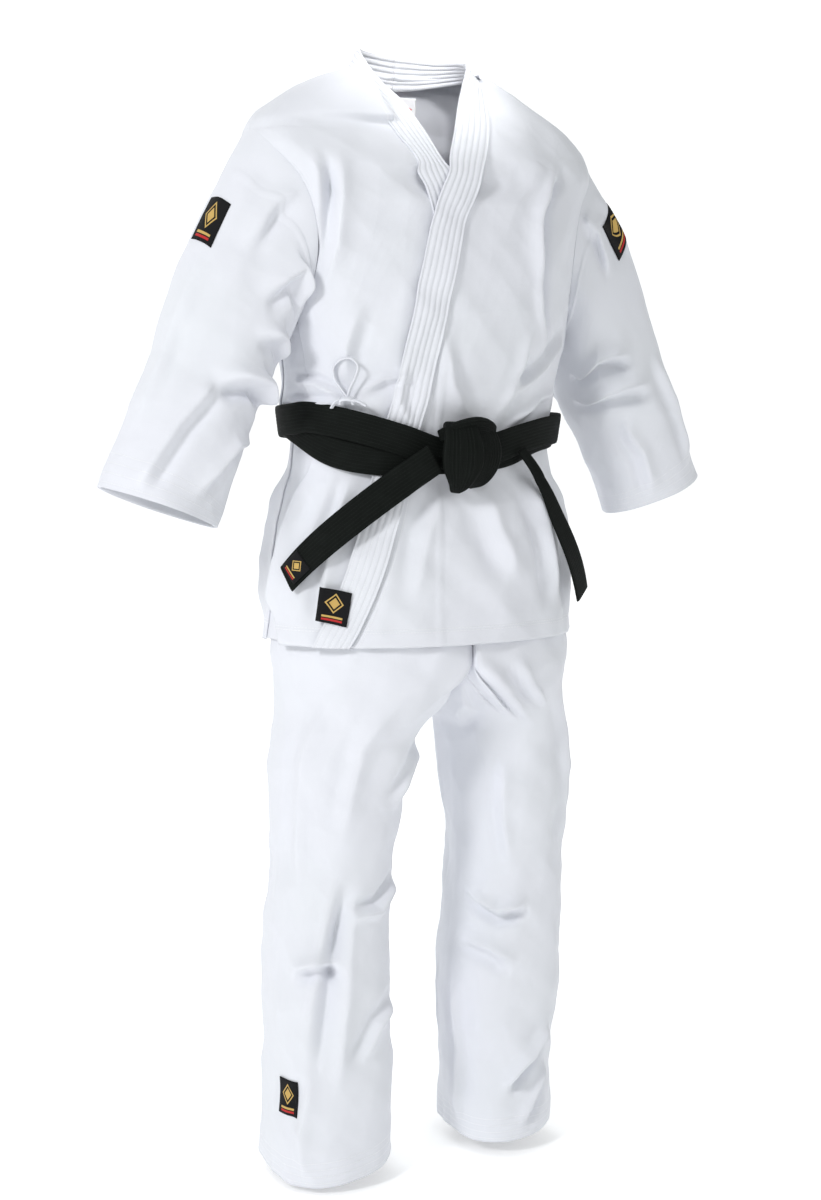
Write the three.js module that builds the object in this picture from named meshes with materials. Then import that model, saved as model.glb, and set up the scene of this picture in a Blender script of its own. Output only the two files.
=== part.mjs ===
// A martial arts uniform: wrapped jacket, trousers and a knotted belt, standing open as if worn.
// Millimetres. The origin is in the middle of the neck opening, +Z is up and the wearer faces -Y,
// so the wearer's right is -X. Every cloth piece is a closed panel with a real thickness.
import * as THREE from "three";

// ---- driving dimensions ----
const cloth = 3; // thickness of one cut piece of canvas, with its lining
const layerGap = 1.5; // air between two cloth pieces that lie on each other
const seamGap = 0.6; // gap between two pieces that are sewn edge to edge
const roundness = 2.3; // exponent of the body sections: 2 is an ellipse, more is squarer

const neckHalfWidth = 88;
const neckHalfDepth = 70;
const neckRise = 34; // from the origin up to the side of the neck
const collarHeight = 36; // above the side of the neck
const shoulderHalfWidth = 254;
const shoulderDrop = 58; // from the origin down to the shoulder tip
const shoulderHalfDepth = 100; // at the shoulder tip
const armholeDepth = 248; // from the shoulder tip down to the armpit
const armholeHalfDepth = 80;
const chestHalfWidth = 205;
const chestHalfDepth = 135;
const waistHalfWidth = 180;
const waistHalfDepth = 118;
const hemHalfWidth = 214;
const hemHalfDepth = 150;
const waistDrop = 450;
const jacketLength = 710;
const lapelWidth = 45;
const lapelGap = 1.5; // between the lapel and the panel that it edges
const lapelProud = 1.5; // how far the lapel stands above the panel that it edges
const collarLean = 14; // how much closer to the neck the collar's top edge stands
const labelHalfAngle = 14; // degrees each side of the middle of the back
const labelTop = 30; // below the collar's top edge
const labelHeight = 28;
const sidePanelHalfAngle = 12; // degrees each side of the side line

const cuffDrop = 530; // from the neck opening down to the middle of the cuff
const cuffReach = 382; // from the middle of the body out to the middle of the cuff
const cuffHalfWidth = 82;
const cuffHalfDepth = 62;
const cuffTilt = 20; // degrees that the cuff's line rises outwards
const sleeveGap = 2; // gap between the armhole's edge and the sleeve
const cuffFacingHeight = 42;

const beltWidth = 40;
const beltThickness = 4;
const beltGap = 2.5; // air between the jacket and the first wrap
const wrapGap = 2.5; // air between the two wraps, which lean different ways
const beltFan = 19; // how far each wrap spreads up or down on the wearer's right
const beltFanAngle = -62; // where the wraps are furthest apart
const beltSideRise = 8; // how far the wraps climb from the front to the sides and back
const beltDip = 26; // how far the wraps drop from there to the knot
const knotWidth = 80;
const knotHeight = 74;
const knotDepth = 30;
const knotShift = -12; // towards the wearer's right
const knotGap = 7; // air between the belt's outer face and the back of the knot

// Each tail is a straight strap on the unrolled skirt: it falls at an angle below level, and its line
// starts at a distance round from the middle and at a height below the origin. The visible strap
// runs from one length along that line to another.
const rightTail = { side: -1, fall: 42, apart: 14, startDrop: waistDrop - 1, from: 66, to: 262 };
const leftTail = { side: 1, fall: 66, apart: 40, startDrop: waistDrop - 17, from: 30, to: 245 };

const trouserTop = waistDrop - 35; // below the neck opening
const waistbandHeight = 40;
const waistbandThickness = 5;
const seatBottom = jacketLength + 48;
const seatClearance = 6; // between the inside of the jacket and the seat
const trouserHem = 1400;
const legTop = jacketLength + 28; // the leg's upper rim, inside the seat
const legTopHalfWidth = 86;
const legTopHalfDepth = 95;
const legHemHalfWidth = 78;
const legHemHalfDepth = 93;
const legTopReach = 100;
const legHemReach = 132;
const legHemFacingHeight = 38;
const gussetHalfWidth = 9;
const gussetSag = 52;

const tieAngle = -56; // degrees from the front, on the wearer's right
const tieAboveBelt = 62; // from the belt's middle up to the bow's small knot
const tieWidth = 9;
const tieEndLength = 22;
const tieLoopHalfWidth = 8;
const tieLoopHalfHeight = 17;

const patchThickness = 1.2;
const patchGap = 1.2;
const sleevePatchSize = 54;
const sleevePatchAround = 66; // degrees, where 90 is the top of the sleeve
const hemPatchSize = 42;
const legPatchSize = 42;

// ---- materials ----
const canvas = new THREE.MeshStandardMaterial({ color: 0xe8ebf5, roughness: 0.9 });
const black = new THREE.MeshStandardMaterial({ color: 0x10140f, roughness: 0.75 });

// ---- small helpers ----
const radians = THREE.MathUtils.degToRad;
const lerp = THREE.MathUtils.lerp;
const power = (value, exponent) => Math.sign(value) * Math.abs(value) ** exponent;

// A value read from a rising list of [position, value] pairs, straight between them.
function along(stations, position) {
  const next = stations.findIndex(([start]) => position <= start);
  if (next === 0) return stations[0][1];
  if (next < 0) return stations[stations.length - 1][1];
  const [from, to] = [stations[next - 1], stations[next]];
  return lerp(from[1], to[1], (position - from[0]) / (to[0] - from[0]));
}

// A closed panel: a grid on its outer face, the same grid on its inner face, and walls round the edge.
// pointAt(u, row, face) gives a point, with u from 0 to 1 across, row from rowValues, face 0 outside.
function panel(columns, rowValues, pointAt, isRing = false) {
  const rows = rowValues.length - 1;
  const across = isRing ? columns : columns + 1;
  const positions = [];
  for (const face of [0, 1]) {
    for (const row of rowValues) {
      for (let i = 0; i < across; i++) positions.push(...pointAt(i / columns, row, face).toArray());
    }
  }
  const at = (face, i, j) => (face * (rows + 1) + j) * across + (i % across);
  const triangles = [];
  const quad = (a, b, c, d) => triangles.push(a, b, c, a, c, d);
  for (let i = 0; i < columns; i++) {
    for (let j = 0; j < rows; j++) {
      quad(at(0, i, j), at(0, i + 1, j), at(0, i + 1, j + 1), at(0, i, j + 1));
      quad(at(1, i, j), at(1, i, j + 1), at(1, i + 1, j + 1), at(1, i + 1, j));
    }
    quad(at(0, i, 0), at(1, i, 0), at(1, i + 1, 0), at(0, i + 1, 0));
    quad(at(0, i, rows), at(0, i + 1, rows), at(1, i + 1, rows), at(1, i, rows));
  }
  for (let j = 0; j < rows && !isRing; j++) {
    quad(at(0, 0, j), at(0, 0, j + 1), at(1, 0, j + 1), at(1, 0, j));
    quad(at(0, columns, j), at(1, columns, j), at(1, columns, j + 1), at(0, columns, j + 1));
  }
  const geometry = new THREE.BufferGeometry();
  geometry.setAttribute("position", new THREE.Float32BufferAttribute(positions, 3));
  geometry.setIndex(facingOut(positions, triangles));
  geometry.computeVertexNormals();
  return geometry;
}

// Turns every triangle round when the solid that they enclose would be inside out.
function facingOut(positions, triangles) {
  const corner = (index) => new THREE.Vector3().fromArray(positions, index * 3);
  let volume = 0;
  for (let i = 0; i < triangles.length; i += 3) {
    const [a, b, c] = [0, 1, 2].map((k) => corner(triangles[i + k]));
    volume += a.dot(b.cross(c));
  }
  if (volume > 0) return triangles;
  return triangles.map((_, i) => triangles[i - (i % 3) + [0, 2, 1][i % 3]]);
}

// ---- the tube that the jacket's body follows ----
const armholeTop = shoulderDrop;
const armholeMiddle = armholeTop + armholeDepth / 2;
const armpit = armholeTop + armholeDepth;
const armholeHalfHeight = armholeDepth / 2;
const neckTop = -neckRise;
// The shoulder line, from the neck to the shoulder tip: shares of the drop, and of the width.
const shoulderLine = [[0, 0], [0.15, 0.31], [0.3, 0.52], [0.52, 0.74], [0.78, 0.93], [1, 1]];

// The body's width goes from one level's to another's by a share, and its depth by another share.
const level = (halfWidth, halfDepth) => ({ halfWidth, halfDepth });
const shoulders = level(shoulderHalfWidth, shoulderHalfDepth);
const chest = level(chestHalfWidth, chestHalfDepth);
const waist = level(waistHalfWidth, waistHalfDepth);
const hem = level(hemHalfWidth, hemHalfDepth);

function between(drop, upper, lower, widthShare, depthShare) {
  const halfWidth = lerp(upper.halfWidth, lower.halfWidth, widthShare);
  return [drop, halfWidth, lerp(upper.halfDepth, lower.halfDepth, depthShare)];
}

// Rows down the jacket as [drop, half width, half depth].
const shoulderTipRound = 4; // the shoulder's edge lies this much inside its widest point
const jacketRows = [
  ...shoulderLine.map(([share, widthShare]) => [
    lerp(neckTop, shoulderDrop, share),
    lerp(neckHalfWidth, shoulderHalfWidth - shoulderTipRound, widthShare),
    lerp(neckHalfDepth, shoulderHalfDepth, widthShare),
  ]),
  between(armholeMiddle - armholeHalfHeight * 0.86, shoulders, chest, 0, 0.4),
  between(armholeMiddle - armholeHalfHeight * 0.5, shoulders, chest, 0.3, 0.8),
  between(armholeMiddle, shoulders, chest, 0.55, 1),
  between(armholeMiddle + armholeHalfHeight * 0.5, shoulders, chest, 0.8, 1.05),
  between(armholeMiddle + armholeHalfHeight * 0.86, shoulders, chest, 0.95, 1),
  [armpit, chestHalfWidth, chestHalfDepth],
  between(lerp(armpit, waistDrop, 0.55), chest, waist, 0.75, 0.65),
  [waistDrop, waistHalfWidth, waistHalfDepth],
  between(lerp(waistDrop, jacketLength, 0.3), waist, hem, 0.36, 0.4),
  between(lerp(waistDrop, jacketLength, 0.65), waist, hem, 0.8, 0.8),
  [jacketLength, hemHalfWidth, hemHalfDepth],
];
const jacketDrops = jacketRows.map(([drop]) => drop);

// The direction in which the cloth's thickness is measured at each row: [inwards, down].
const jacketInward = jacketRows.map((row, i) => {
  const above = jacketRows[Math.max(i - 1, 0)];
  const below = jacketRows[Math.min(i + 1, jacketRows.length - 1)];
  const slope = (below[1] - above[1]) / (below[0] - above[0]);
  return slope > 1 ? new THREE.Vector2(1, slope).normalize() : new THREE.Vector2(1, 0);
});

// A point on a body section. angle is in degrees from the front, towards the wearer's left.
function sectionPoint(halfWidth, halfDepth, drop, angle) {
  const x = halfWidth * power(Math.sin(radians(angle)), 2 / roundness);
  const y = -halfDepth * power(Math.cos(radians(angle)), 2 / roundness);
  return new THREE.Vector3(x, y, -drop);
}

function jacketPoint(angle, drop, depth) {
  const read = (pick) => along(jacketRows.map((row, i) => [row[0], pick(row, i)]), drop);
  const inward = depth * read((row, i) => jacketInward[i].x);
  const down = depth * read((row, i) => jacketInward[i].y);
  return sectionPoint(read((row) => row[1]) - inward, read((row) => row[2]) - inward, drop + down, angle);
}

// The angle at which the jacket's surface stands x to the left of the middle.
function angleAtX(x, drop) {
  const halfWidth = along(jacketRows, drop);
  const share = THREE.MathUtils.clamp(Math.abs(x) / halfWidth, 0, 0.995);
  return Math.sign(x) * THREE.MathUtils.radToDeg(Math.asin(share ** (roundness / 2)));
}

// How far from the front the armhole or the side seam cuts a panel off, in degrees.
function sideAngle(drop, seam) {
  const height = (drop - armholeMiddle) / armholeHalfHeight;
  const edge = 90 - THREE.MathUtils.radToDeg(seamGap / 2 / along(jacketRows, drop));
  if (drop <= armholeTop) return edge;
  if (Math.abs(height) >= 1) return seam;
  const y = armholeHalfDepth * Math.sqrt(1 - height * height);
  const halfDepth = along(jacketRows.map((row) => [row[0], row[2]]), drop);
  const angle = THREE.MathUtils.radToDeg(Math.acos((y / halfDepth) ** (roundness / 2)));
  return Math.min(drop < armholeMiddle ? edge : seam, angle);
}

// ---- the two fronts and their lapels ----
// The free edge of each front as [drop, x]. The wearer's left front lies over the right one.
const overEdge = [
  [neckTop, 70],
  [0, 42],
  [shoulderDrop, 4],
  [shoulderDrop + 56, -40],
  [armholeMiddle + 40, -72],
  [armpit, -88],
  [waistDrop, -115],
  [lerp(waistDrop, jacketLength, 0.5), -152],
  [jacketLength, -0.9 * hemHalfWidth],
];
const underEdge = [
  [neckTop, -72],
  [shoulderDrop, -54],
  [shoulderDrop + 56, -34],
  [armholeMiddle + 40, 8],
  [armpit, 46],
  [waistDrop, 100],
  [jacketLength, 0.8 * hemHalfWidth],
];

// The lapel's width measured level, which grows where its edge runs aslant.
function levelLapelWidth(edge, drop) {
  const step = 20;
  const slope = (along(edge, drop + step) - along(edge, drop - step)) / (2 * step);
  return lapelWidth * Math.sqrt(1 + slope * slope);
}

// side is +1 for the left (over) front and -1 for the right (under) front.
const fronts = {
  left: { side: 1, edge: overEdge, depth: 0, proud: lapelProud },
  right: { side: -1, edge: underEdge, depth: cloth + layerGap, proud: 0 },
};

// The angle reached by going a level distance round the body, towards the wearer's left for side +1.
function angleAfter(angle, drop, distance, side) {
  const step = 1;
  let reached = angle;
  let left = distance;
  while (left > 0) {
    const stride = jacketPoint(reached, drop, 0).distanceTo(jacketPoint(reached + side * step, drop, 0));
    reached += side * step * Math.min(1, left / stride);
    left -= stride;
  }
  return reached;
}

function lapelSeamAngle({ side, edge }, drop) {
  const last = 90 - 3; // at the neck the seam reaches the side of the collar
  const start = angleAtX(along(edge, drop), drop);
  return side * Math.min(side * angleAfter(start, drop, levelLapelWidth(edge, drop), side), last);
}

const frontSideAngle = (drop) => sideAngle(drop, 90 - sidePanelHalfAngle);

function frontPanel(front) {
  const gap = (drop) => THREE.MathUtils.radToDeg(lapelGap / along(jacketRows, drop));
  return panel(15, jacketDrops, (u, drop, face) => {
    const start = lapelSeamAngle(front, drop) + front.side * gap(drop);
    const end = front.side * (frontSideAngle(drop) - gap(drop) / 2);
    return jacketPoint(lerp(start, end, u), drop, front.depth + face * cloth);
  });
}

// The lapel runs down the panel's free edge, and stands up at the neck to meet the collar.
function lapel(front) {
  const collarRow = neckTop - collarHeight;
  const neckReach = [neckHalfWidth - collarLean, neckHalfWidth];
  const forward = [10, 5]; // in front of the side of the neck, at the collar's edge and at its seam
  const rise = [neckRise + collarHeight - 2, neckRise + 3];
  return panel(3, [collarRow, ...jacketDrops], (u, drop, face) => {
    if (drop === collarRow) {
      const x = lerp(...neckReach, u) - front.depth - face * cloth;
      return new THREE.Vector3(front.side * x, -lerp(...forward, u), lerp(...rise, u));
    }
    const start = angleAtX(along(front.edge, drop), drop);
    const angle = lerp(start, lapelSeamAngle(front, drop), u);
    return jacketPoint(angle, drop, face ? front.depth + cloth : front.depth - front.proud);
  });
}

// The back of the collar stands round the back of the neck from one lapel to the other.
function collarBack() {
  const foot = 3; // how far above the side of the neck it is sewn on
  return panel(14, [1, 0.5, 0], (u, height, face) => {
    const angle = lerp(93, 267, u);
    const inset = collarLean * height + face * (cloth + lapelProud);
    const drop = neckTop - lerp(foot, collarHeight, height);
    return sectionPoint(neckHalfWidth - inset, neckHalfDepth - inset, drop, angle);
  });
}

function neckLabel() {
  const inset = collarLean + cloth + lapelProud + layerGap;
  const top = neckTop - collarHeight + labelTop;
  return panel(4, [top, top + labelHeight], (u, drop, face) => {
    const reach = inset + face * patchThickness;
    const angle = 180 + lerp(-labelHalfAngle, labelHalfAngle, u);
    return sectionPoint(neckHalfWidth - reach, neckHalfDepth - reach, drop, angle);
  });
}

// ---- the back and the side panels ----
function backPanel(side) {
  const halfSeam = (drop) => THREE.MathUtils.radToDeg(seamGap / along(jacketRows, drop));
  return panel(10, jacketDrops, (u, drop, face) => {
    const end = 180 - frontSideAngle(drop) + halfSeam(drop) / 2;
    const angle = lerp(180 - halfSeam(drop), end, u);
    return jacketPoint(side * angle, drop, face * cloth);
  });
}

function sidePanel(side) {
  const drops = jacketDrops.filter((drop) => drop >= armpit);
  const half = (drop) => sidePanelHalfAngle - THREE.MathUtils.radToDeg(seamGap / along(jacketRows, drop));
  return panel(4, drops, (u, drop, face) =>
    jacketPoint(side * (90 + lerp(-half(drop), half(drop), u)), drop, face * cloth),
  );
}

// ---- sleeves ----
const tilt = radians(cuffTilt);

// around is in degrees: 90 at the top of the sleeve, -90 at the underarm. share runs to the cuff.
function sleevePoint(side, around, share, depth) {
  const sine = Math.sin(radians(around));
  const cosine = Math.cos(radians(around));
  const y = -(armholeHalfDepth - 1 - depth) * cosine;
  const drop = armholeMiddle - (armholeHalfHeight - 1 - depth) * sine;
  const halfWidth = along(jacketRows, drop);
  const halfDepth = along(jacketRows.map((row) => [row[0], row[2]]), drop);
  const reach = halfWidth * (1 - Math.min(Math.abs(y) / halfDepth, 1) ** roundness) ** (1 / roundness);
  const atArmhole = new THREE.Vector3(reach + sleeveGap, y, -drop);
  const wide = (cuffHalfWidth - depth) * sine;
  const atCuff = new THREE.Vector3(
    cuffReach + wide * Math.cos(tilt),
    -(cuffHalfDepth - depth) * cosine,
    -cuffDrop + wide * Math.sin(tilt),
  );
  const point = atArmhole.lerp(atCuff, share);
  return point.multiply(new THREE.Vector3(side, 1, 1));
}

const sleeveLength = Math.hypot(cuffReach - chestHalfWidth, cuffDrop - armholeMiddle);
const sleeveRows = [0, 0.2, 0.4, 0.6, 0.8, 1];

function sleeveTube(side, rows, inside) {
  return panel(
    20,
    rows,
    (u, share, face) => sleevePoint(side, u * 360 - 90, share, inside + face * cloth),
    true,
  );
}

const sleeve = (side) => sleeveTube(side, sleeveRows, 0);

const cuffFacing = (side) => sleeveTube(side, [1 - cuffFacingHeight / sleeveLength, 1], cloth + layerGap);

function sleevePatch(side) {
  const start = 0.2;
  const rows = [start, start + sleevePatchSize / sleeveLength];
  const halfAngle = THREE.MathUtils.radToDeg(sleevePatchSize / (armholeHalfHeight + cuffHalfWidth));
  return panel(4, rows, (u, share, face) => {
    const around = sleevePatchAround + lerp(-halfAngle, halfAngle, u);
    return sleevePoint(side, around, share, -patchGap - (1 - face) * patchThickness);
  });
}

// ---- belt ----
// How high the middle of each wrap lies at an angle from the front. A slope falls to 0 over a range.
function wrapDrop(angle, spread) {
  const slope = (centre, range) => {
    const away = Math.abs(((angle - centre + 540) % 360) - 180);
    return Math.max(0, 1 - away / range);
  };
  return waistDrop - beltSideRise + beltDip * slope(0, 50) + spread * beltFan * slope(beltFanAngle, 60);
}

const firstWrapDepth = -(lapelProud + beltGap);
const secondWrapDepth = firstWrapDepth - beltThickness - wrapGap;
const beltFace = -secondWrapDepth + beltThickness;

function beltWrap(spread, depth) {
  return panel(
    36,
    [-0.5, 0.5],
    (u, height, face) => {
      const angle = u * 360;
      const drop = wrapDrop(angle, spread) + height * beltWidth;
      return jacketPoint(angle, drop, depth - (1 - face) * beltThickness);
    },
    true,
  );
}

const knotDrop = waistDrop - beltSideRise + beltDip;
const knotBack = waistHalfDepth + beltFace + knotGap;

// The knot is a flattened hexagonal bundle, widest in the middle.
function beltKnot() {
  const outline = new THREE.Shape();
  const [w, h] = [knotWidth / 2, knotHeight / 2];
  outline.moveTo(-w * 0.55, -h);
  outline.lineTo(w * 0.45, -h * 0.9);
  outline.quadraticCurveTo(w, -h * 0.5, w, 0);
  outline.quadraticCurveTo(w * 0.95, h * 0.7, w * 0.3, h);
  outline.lineTo(-w * 0.5, h * 0.85);
  outline.quadraticCurveTo(-w, h * 0.5, -w, -h * 0.1);
  outline.closePath();
  const bevel = 6;
  const geometry = new THREE.ExtrudeGeometry(outline, {
    depth: knotDepth - 2 * bevel,
    bevelEnabled: true,
    bevelThickness: bevel,
    bevelSize: bevel,
    bevelOffset: -bevel,
    bevelSegments: 2,
    curveSegments: 4,
  });
  geometry.rotateX(Math.PI / 2);
  geometry.translate(knotShift, -knotBack - bevel, -knotDrop);
  return geometry;
}

const tailLift = 10; // how far the tails lie off the belt's outer face

function tailPoint({ side, fall, apart, startDrop }, run, across, depth) {
  const [sine, cosine] = [Math.sin(radians(fall)), Math.cos(radians(fall))];
  const drop = startDrop + run * sine + across * cosine;
  const arc = apart + run * cosine - across * sine;
  const quarterGirth = (Math.PI / 2) * lerp(waistHalfWidth, waistHalfDepth, 0.45);
  const angle = (90 * arc) / quarterGirth;
  const widest = waistDrop + (jacketLength - waistDrop) * 0.2; // the strap spans the hollow at the belt
  return jacketPoint(side * angle, Math.max(drop, widest), -beltFace - tailLift + depth).setZ(-drop);
}

function beltTail(tail) {
  const rows = [0, 0.2, 0.4, 0.6, 0.8, 1].map((share) => lerp(tail.from, tail.to, share));
  return panel(2, rows, (u, run, face) => {
    const across = (u - 0.5) * beltWidth;
    return tailPoint(tail, run, across, face * beltThickness);
  });
}

function tailEmblem() {
  const border = 6; // belt left showing at each side of the emblem
  const length = 22;
  const bottom = rightTail.to - 2 * border;
  return panel(1, [bottom - length, bottom], (u, run, face) => {
    const across = (u - 0.5) * (beltWidth - 2 * border);
    return tailPoint(rightTail, run, across, face * patchThickness - patchGap - patchThickness);
  });
}

// ---- the jacket's outer tie, a small bow above the belt on the wearer's right ----
const tieLift = 7; // the tapes lie this far off the jacket
const tieTape = 2;
const tieCentre = 4; // from the plane of the lift out to the middle of the tapes

function onTie(geometry, acrossShift, riseShift) {
  const drop = waistDrop - tieAboveBelt;
  const place = jacketPoint(tieAngle, drop, -tieLift);
  const outwards = jacketPoint(tieAngle, drop, -2 * tieLift).sub(place);
  const turned = new THREE.Object3D();
  turned.lookAt(outwards.setZ(0));
  geometry.translate(acrossShift, riseShift, 0);
  geometry.applyQuaternion(turned.quaternion);
  return geometry.translate(place.x, place.y, place.z);
}

// One loop of the bow: a flat band bent into a long ring.
function tieLoop() {
  const band = 4;
  const ellipse = (Kind, inset, isHole) => {
    const [halfWidth, halfHeight] = [tieLoopHalfWidth - inset, tieLoopHalfHeight - inset];
    return new Kind().absellipse(0, 0, halfWidth, halfHeight, 0, 2 * Math.PI, isHole, 0);
  };
  const outline = ellipse(THREE.Shape, 0, false);
  outline.holes.push(ellipse(THREE.Path, band, true));
  const options = { depth: band + 1, bevelEnabled: false, curveSegments: 5 };
  return onTie(new THREE.ExtrudeGeometry(outline, options), -2, tieLoopHalfHeight + tieWidth - 1);
}

function tieBox(width, height, depth, acrossShift, riseShift) {
  const box = new THREE.BoxGeometry(width, height, depth).translate(0, 0, tieCentre);
  return onTie(box, acrossShift, riseShift);
}

const tieKnotHeight = tieWidth + 4;
const tieKnot = () => tieBox(tieWidth + 6, tieKnotHeight, tieWidth, 0, 0);
const tieEndRise = -(tieKnotHeight + tieEndLength) / 2 - layerGap;
const tieEnd = (shift) => tieBox(tieWidth, tieEndLength, tieTape, shift, tieEndRise);

// ---- trousers ----
const insideJacket = 2 * cloth + layerGap + seatClearance;
const seatStart = waistDrop + 60; // where the trousers begin to widen over the hips
const seatMiddle = lerp(waistDrop, jacketLength, 0.65);

function seatSection(drop) {
  const rows = [
    [trouserTop, waistHalfWidth, waistHalfDepth],
    [seatStart, waistHalfWidth, waistHalfDepth],
    between(seatMiddle, waist, hem, 0.72, 0.7),
    [jacketLength, hemHalfWidth, hemHalfDepth],
    [seatBottom, hemHalfWidth, hemHalfDepth],
  ];
  const read = (k) => along(rows.map((row) => [row[0], row[k]]), drop) - insideJacket;
  return [read(1), read(2)];
}

const waistbandBottom = trouserTop + waistbandHeight;

function waistband() {
  return panel(
    32,
    [trouserTop, waistbandBottom],
    (u, drop, face) => {
      const [halfWidth, halfDepth] = seatSection(drop);
      const inward = face * waistbandThickness;
      return sectionPoint(halfWidth - inward, halfDepth - inward, drop, u * 360);
    },
    true,
  );
}

function seatHalf(side) {
  const top = waistbandBottom + seamGap;
  const drops = [top, seatStart, seatMiddle, jacketLength, seatBottom];
  return panel(16, drops, (u, drop, face) => {
    const [halfWidth, halfDepth] = seatSection(drop);
    const seam = THREE.MathUtils.radToDeg(seamGap / halfWidth);
    const angle = side * lerp(seam, 180 - seam, u);
    return sectionPoint(halfWidth - face * cloth, halfDepth - face * cloth, drop, angle);
  });
}

// The gusset is a narrow sling under the crotch, between the two legs.
function crotchGusset() {
  const reach = seatSection(seatBottom)[1] - cloth / 2;
  return panel(1, [-1, -0.75, -0.45, 0, 0.45, 0.75, 1], (u, share, face) => {
    const sag = gussetSag * (1 - share * share);
    const drop = seatBottom + seamGap + sag + (1 - face) * cloth;
    return new THREE.Vector3((u - 0.5) * 2 * gussetHalfWidth, share * reach, -drop);
  });
}

function legPoint(side, angle, drop, depth) {
  const share = (drop - legTop) / (trouserHem - legTop);
  const knee = 0.42; // the share of the leg at which it has moved out to the line of its hem
  const reach = lerp(legTopReach, legHemReach, Math.min(share / knee, 1));
  const halfWidth = lerp(legTopHalfWidth, legHemHalfWidth, share) - depth;
  const halfDepth = lerp(legTopHalfDepth, legHemHalfDepth, share) - depth;
  return sectionPoint(halfWidth, halfDepth, drop, angle).add(new THREE.Vector3(side * reach, 0, 0));
}

const legDrops = [0, 0.08, 0.21, 0.42, 0.7, 1].map((share) => lerp(legTop, trouserHem, share));

function legHalf(side, facing) {
  const seam = THREE.MathUtils.radToDeg(seamGap / legTopHalfWidth);
  return panel(11, legDrops, (u, drop, face) => {
    const angle = facing + lerp(-90 + seam, 90 - seam, u);
    return legPoint(side, angle, drop, face * cloth);
  });
}

function legHemFacing(side) {
  const inside = cloth + layerGap;
  const rows = [trouserHem - legHemFacingHeight, trouserHem];
  const pointAt = (u, drop, face) => legPoint(side, u * 360, drop, inside + face * cloth);
  return panel(22, rows, pointAt, true);
}

function legPatch() {
  const aboveHem = 120; // from the hem up to the patch's top edge
  const middleAngle = -62;
  const top = trouserHem - aboveHem;
  const halfAngle = THREE.MathUtils.radToDeg(legPatchSize / 2 / legHemHalfWidth);
  return panel(3, [top, top + legPatchSize], (u, drop, face) => {
    const angle = middleAngle + lerp(-halfAngle, halfAngle, u);
    return legPoint(-1, angle, drop, -patchGap - (1 - face) * patchThickness);
  });
}

// The woven patch lies on the foot of the over front's lapel.
function hemPatch() {
  const aboveHem = 24;
  const bottom = jacketLength - aboveHem;
  return panel(4, [bottom - hemPatchSize, bottom], (u, drop, face) => {
    const start = angleAtX(along(overEdge, bottom), bottom);
    const border = (lapelWidth - hemPatchSize) / 2;
    const angle = angleAfter(start, bottom, border + u * hemPatchSize, 1);
    return jacketPoint(angle, drop, -lapelProud - patchGap - (1 - face) * patchThickness);
  });
}

// ---- assembly ----
const uniform = new THREE.Group();
uniform.name = "martial_arts_uniform";

function add(name, geometry, material = canvas) {
  const mesh = new THREE.Mesh(geometry, material);
  mesh.name = name;
  uniform.add(mesh);
}

add("left_front_panel", frontPanel(fronts.left));
add("right_front_panel", frontPanel(fronts.right));
add("left_lapel", lapel(fronts.left));
add("right_lapel", lapel(fronts.right));
add("collar_back", collarBack());
add("neck_label", neckLabel());
add("hem_patch", hemPatch(), black);
add("side_tie_loop", tieLoop());
add("side_tie_knot", tieKnot());
add("side_tie_front_end", tieEnd(6));
add("side_tie_rear_end", tieEnd(-6));
add("belt_first_wrap", beltWrap(-1, firstWrapDepth), black);
add("belt_second_wrap", beltWrap(1, secondWrapDepth), black);
add("belt_knot", beltKnot(), black);
add("belt_tail_emblem", tailEmblem());
add("waistband", waistband());
add("crotch_gusset", crotchGusset());
add("leg_patch", legPatch(), black);

for (const [word, side] of [["right", -1], ["left", 1]]) {
  add(word + "_back_panel", backPanel(side));
  add(word + "_side_panel", sidePanel(side));
  add(word + "_sleeve", sleeve(side));
  add(word + "_cuff_facing", cuffFacing(side));
  add(word + "_sleeve_patch", sleevePatch(side), black);
  add(word + "_belt_tail", beltTail(side < 0 ? rightTail : leftTail), black);
  add(word + "_seat_half", seatHalf(side));
  add(word + "_leg_front", legHalf(side, 0));
  add(word + "_leg_back", legHalf(side, 180));
  add(word + "_leg_hem_facing", legHemFacing(side));
}

export default uniform;
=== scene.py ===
# %% [markdown]
# # A martial arts uniform in heavy white cotton, with a knotted black belt
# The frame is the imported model: bodies, joints and plain closed solids for every cut piece. Here each plain
# solid is replaced with cloth that has folds, seams, rows of stitching and a weave. The frame is loaded first,
# because every piece has to lie where its solid lies. Metres, with the neck opening at the origin.

# %% Load the frame
import math

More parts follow.
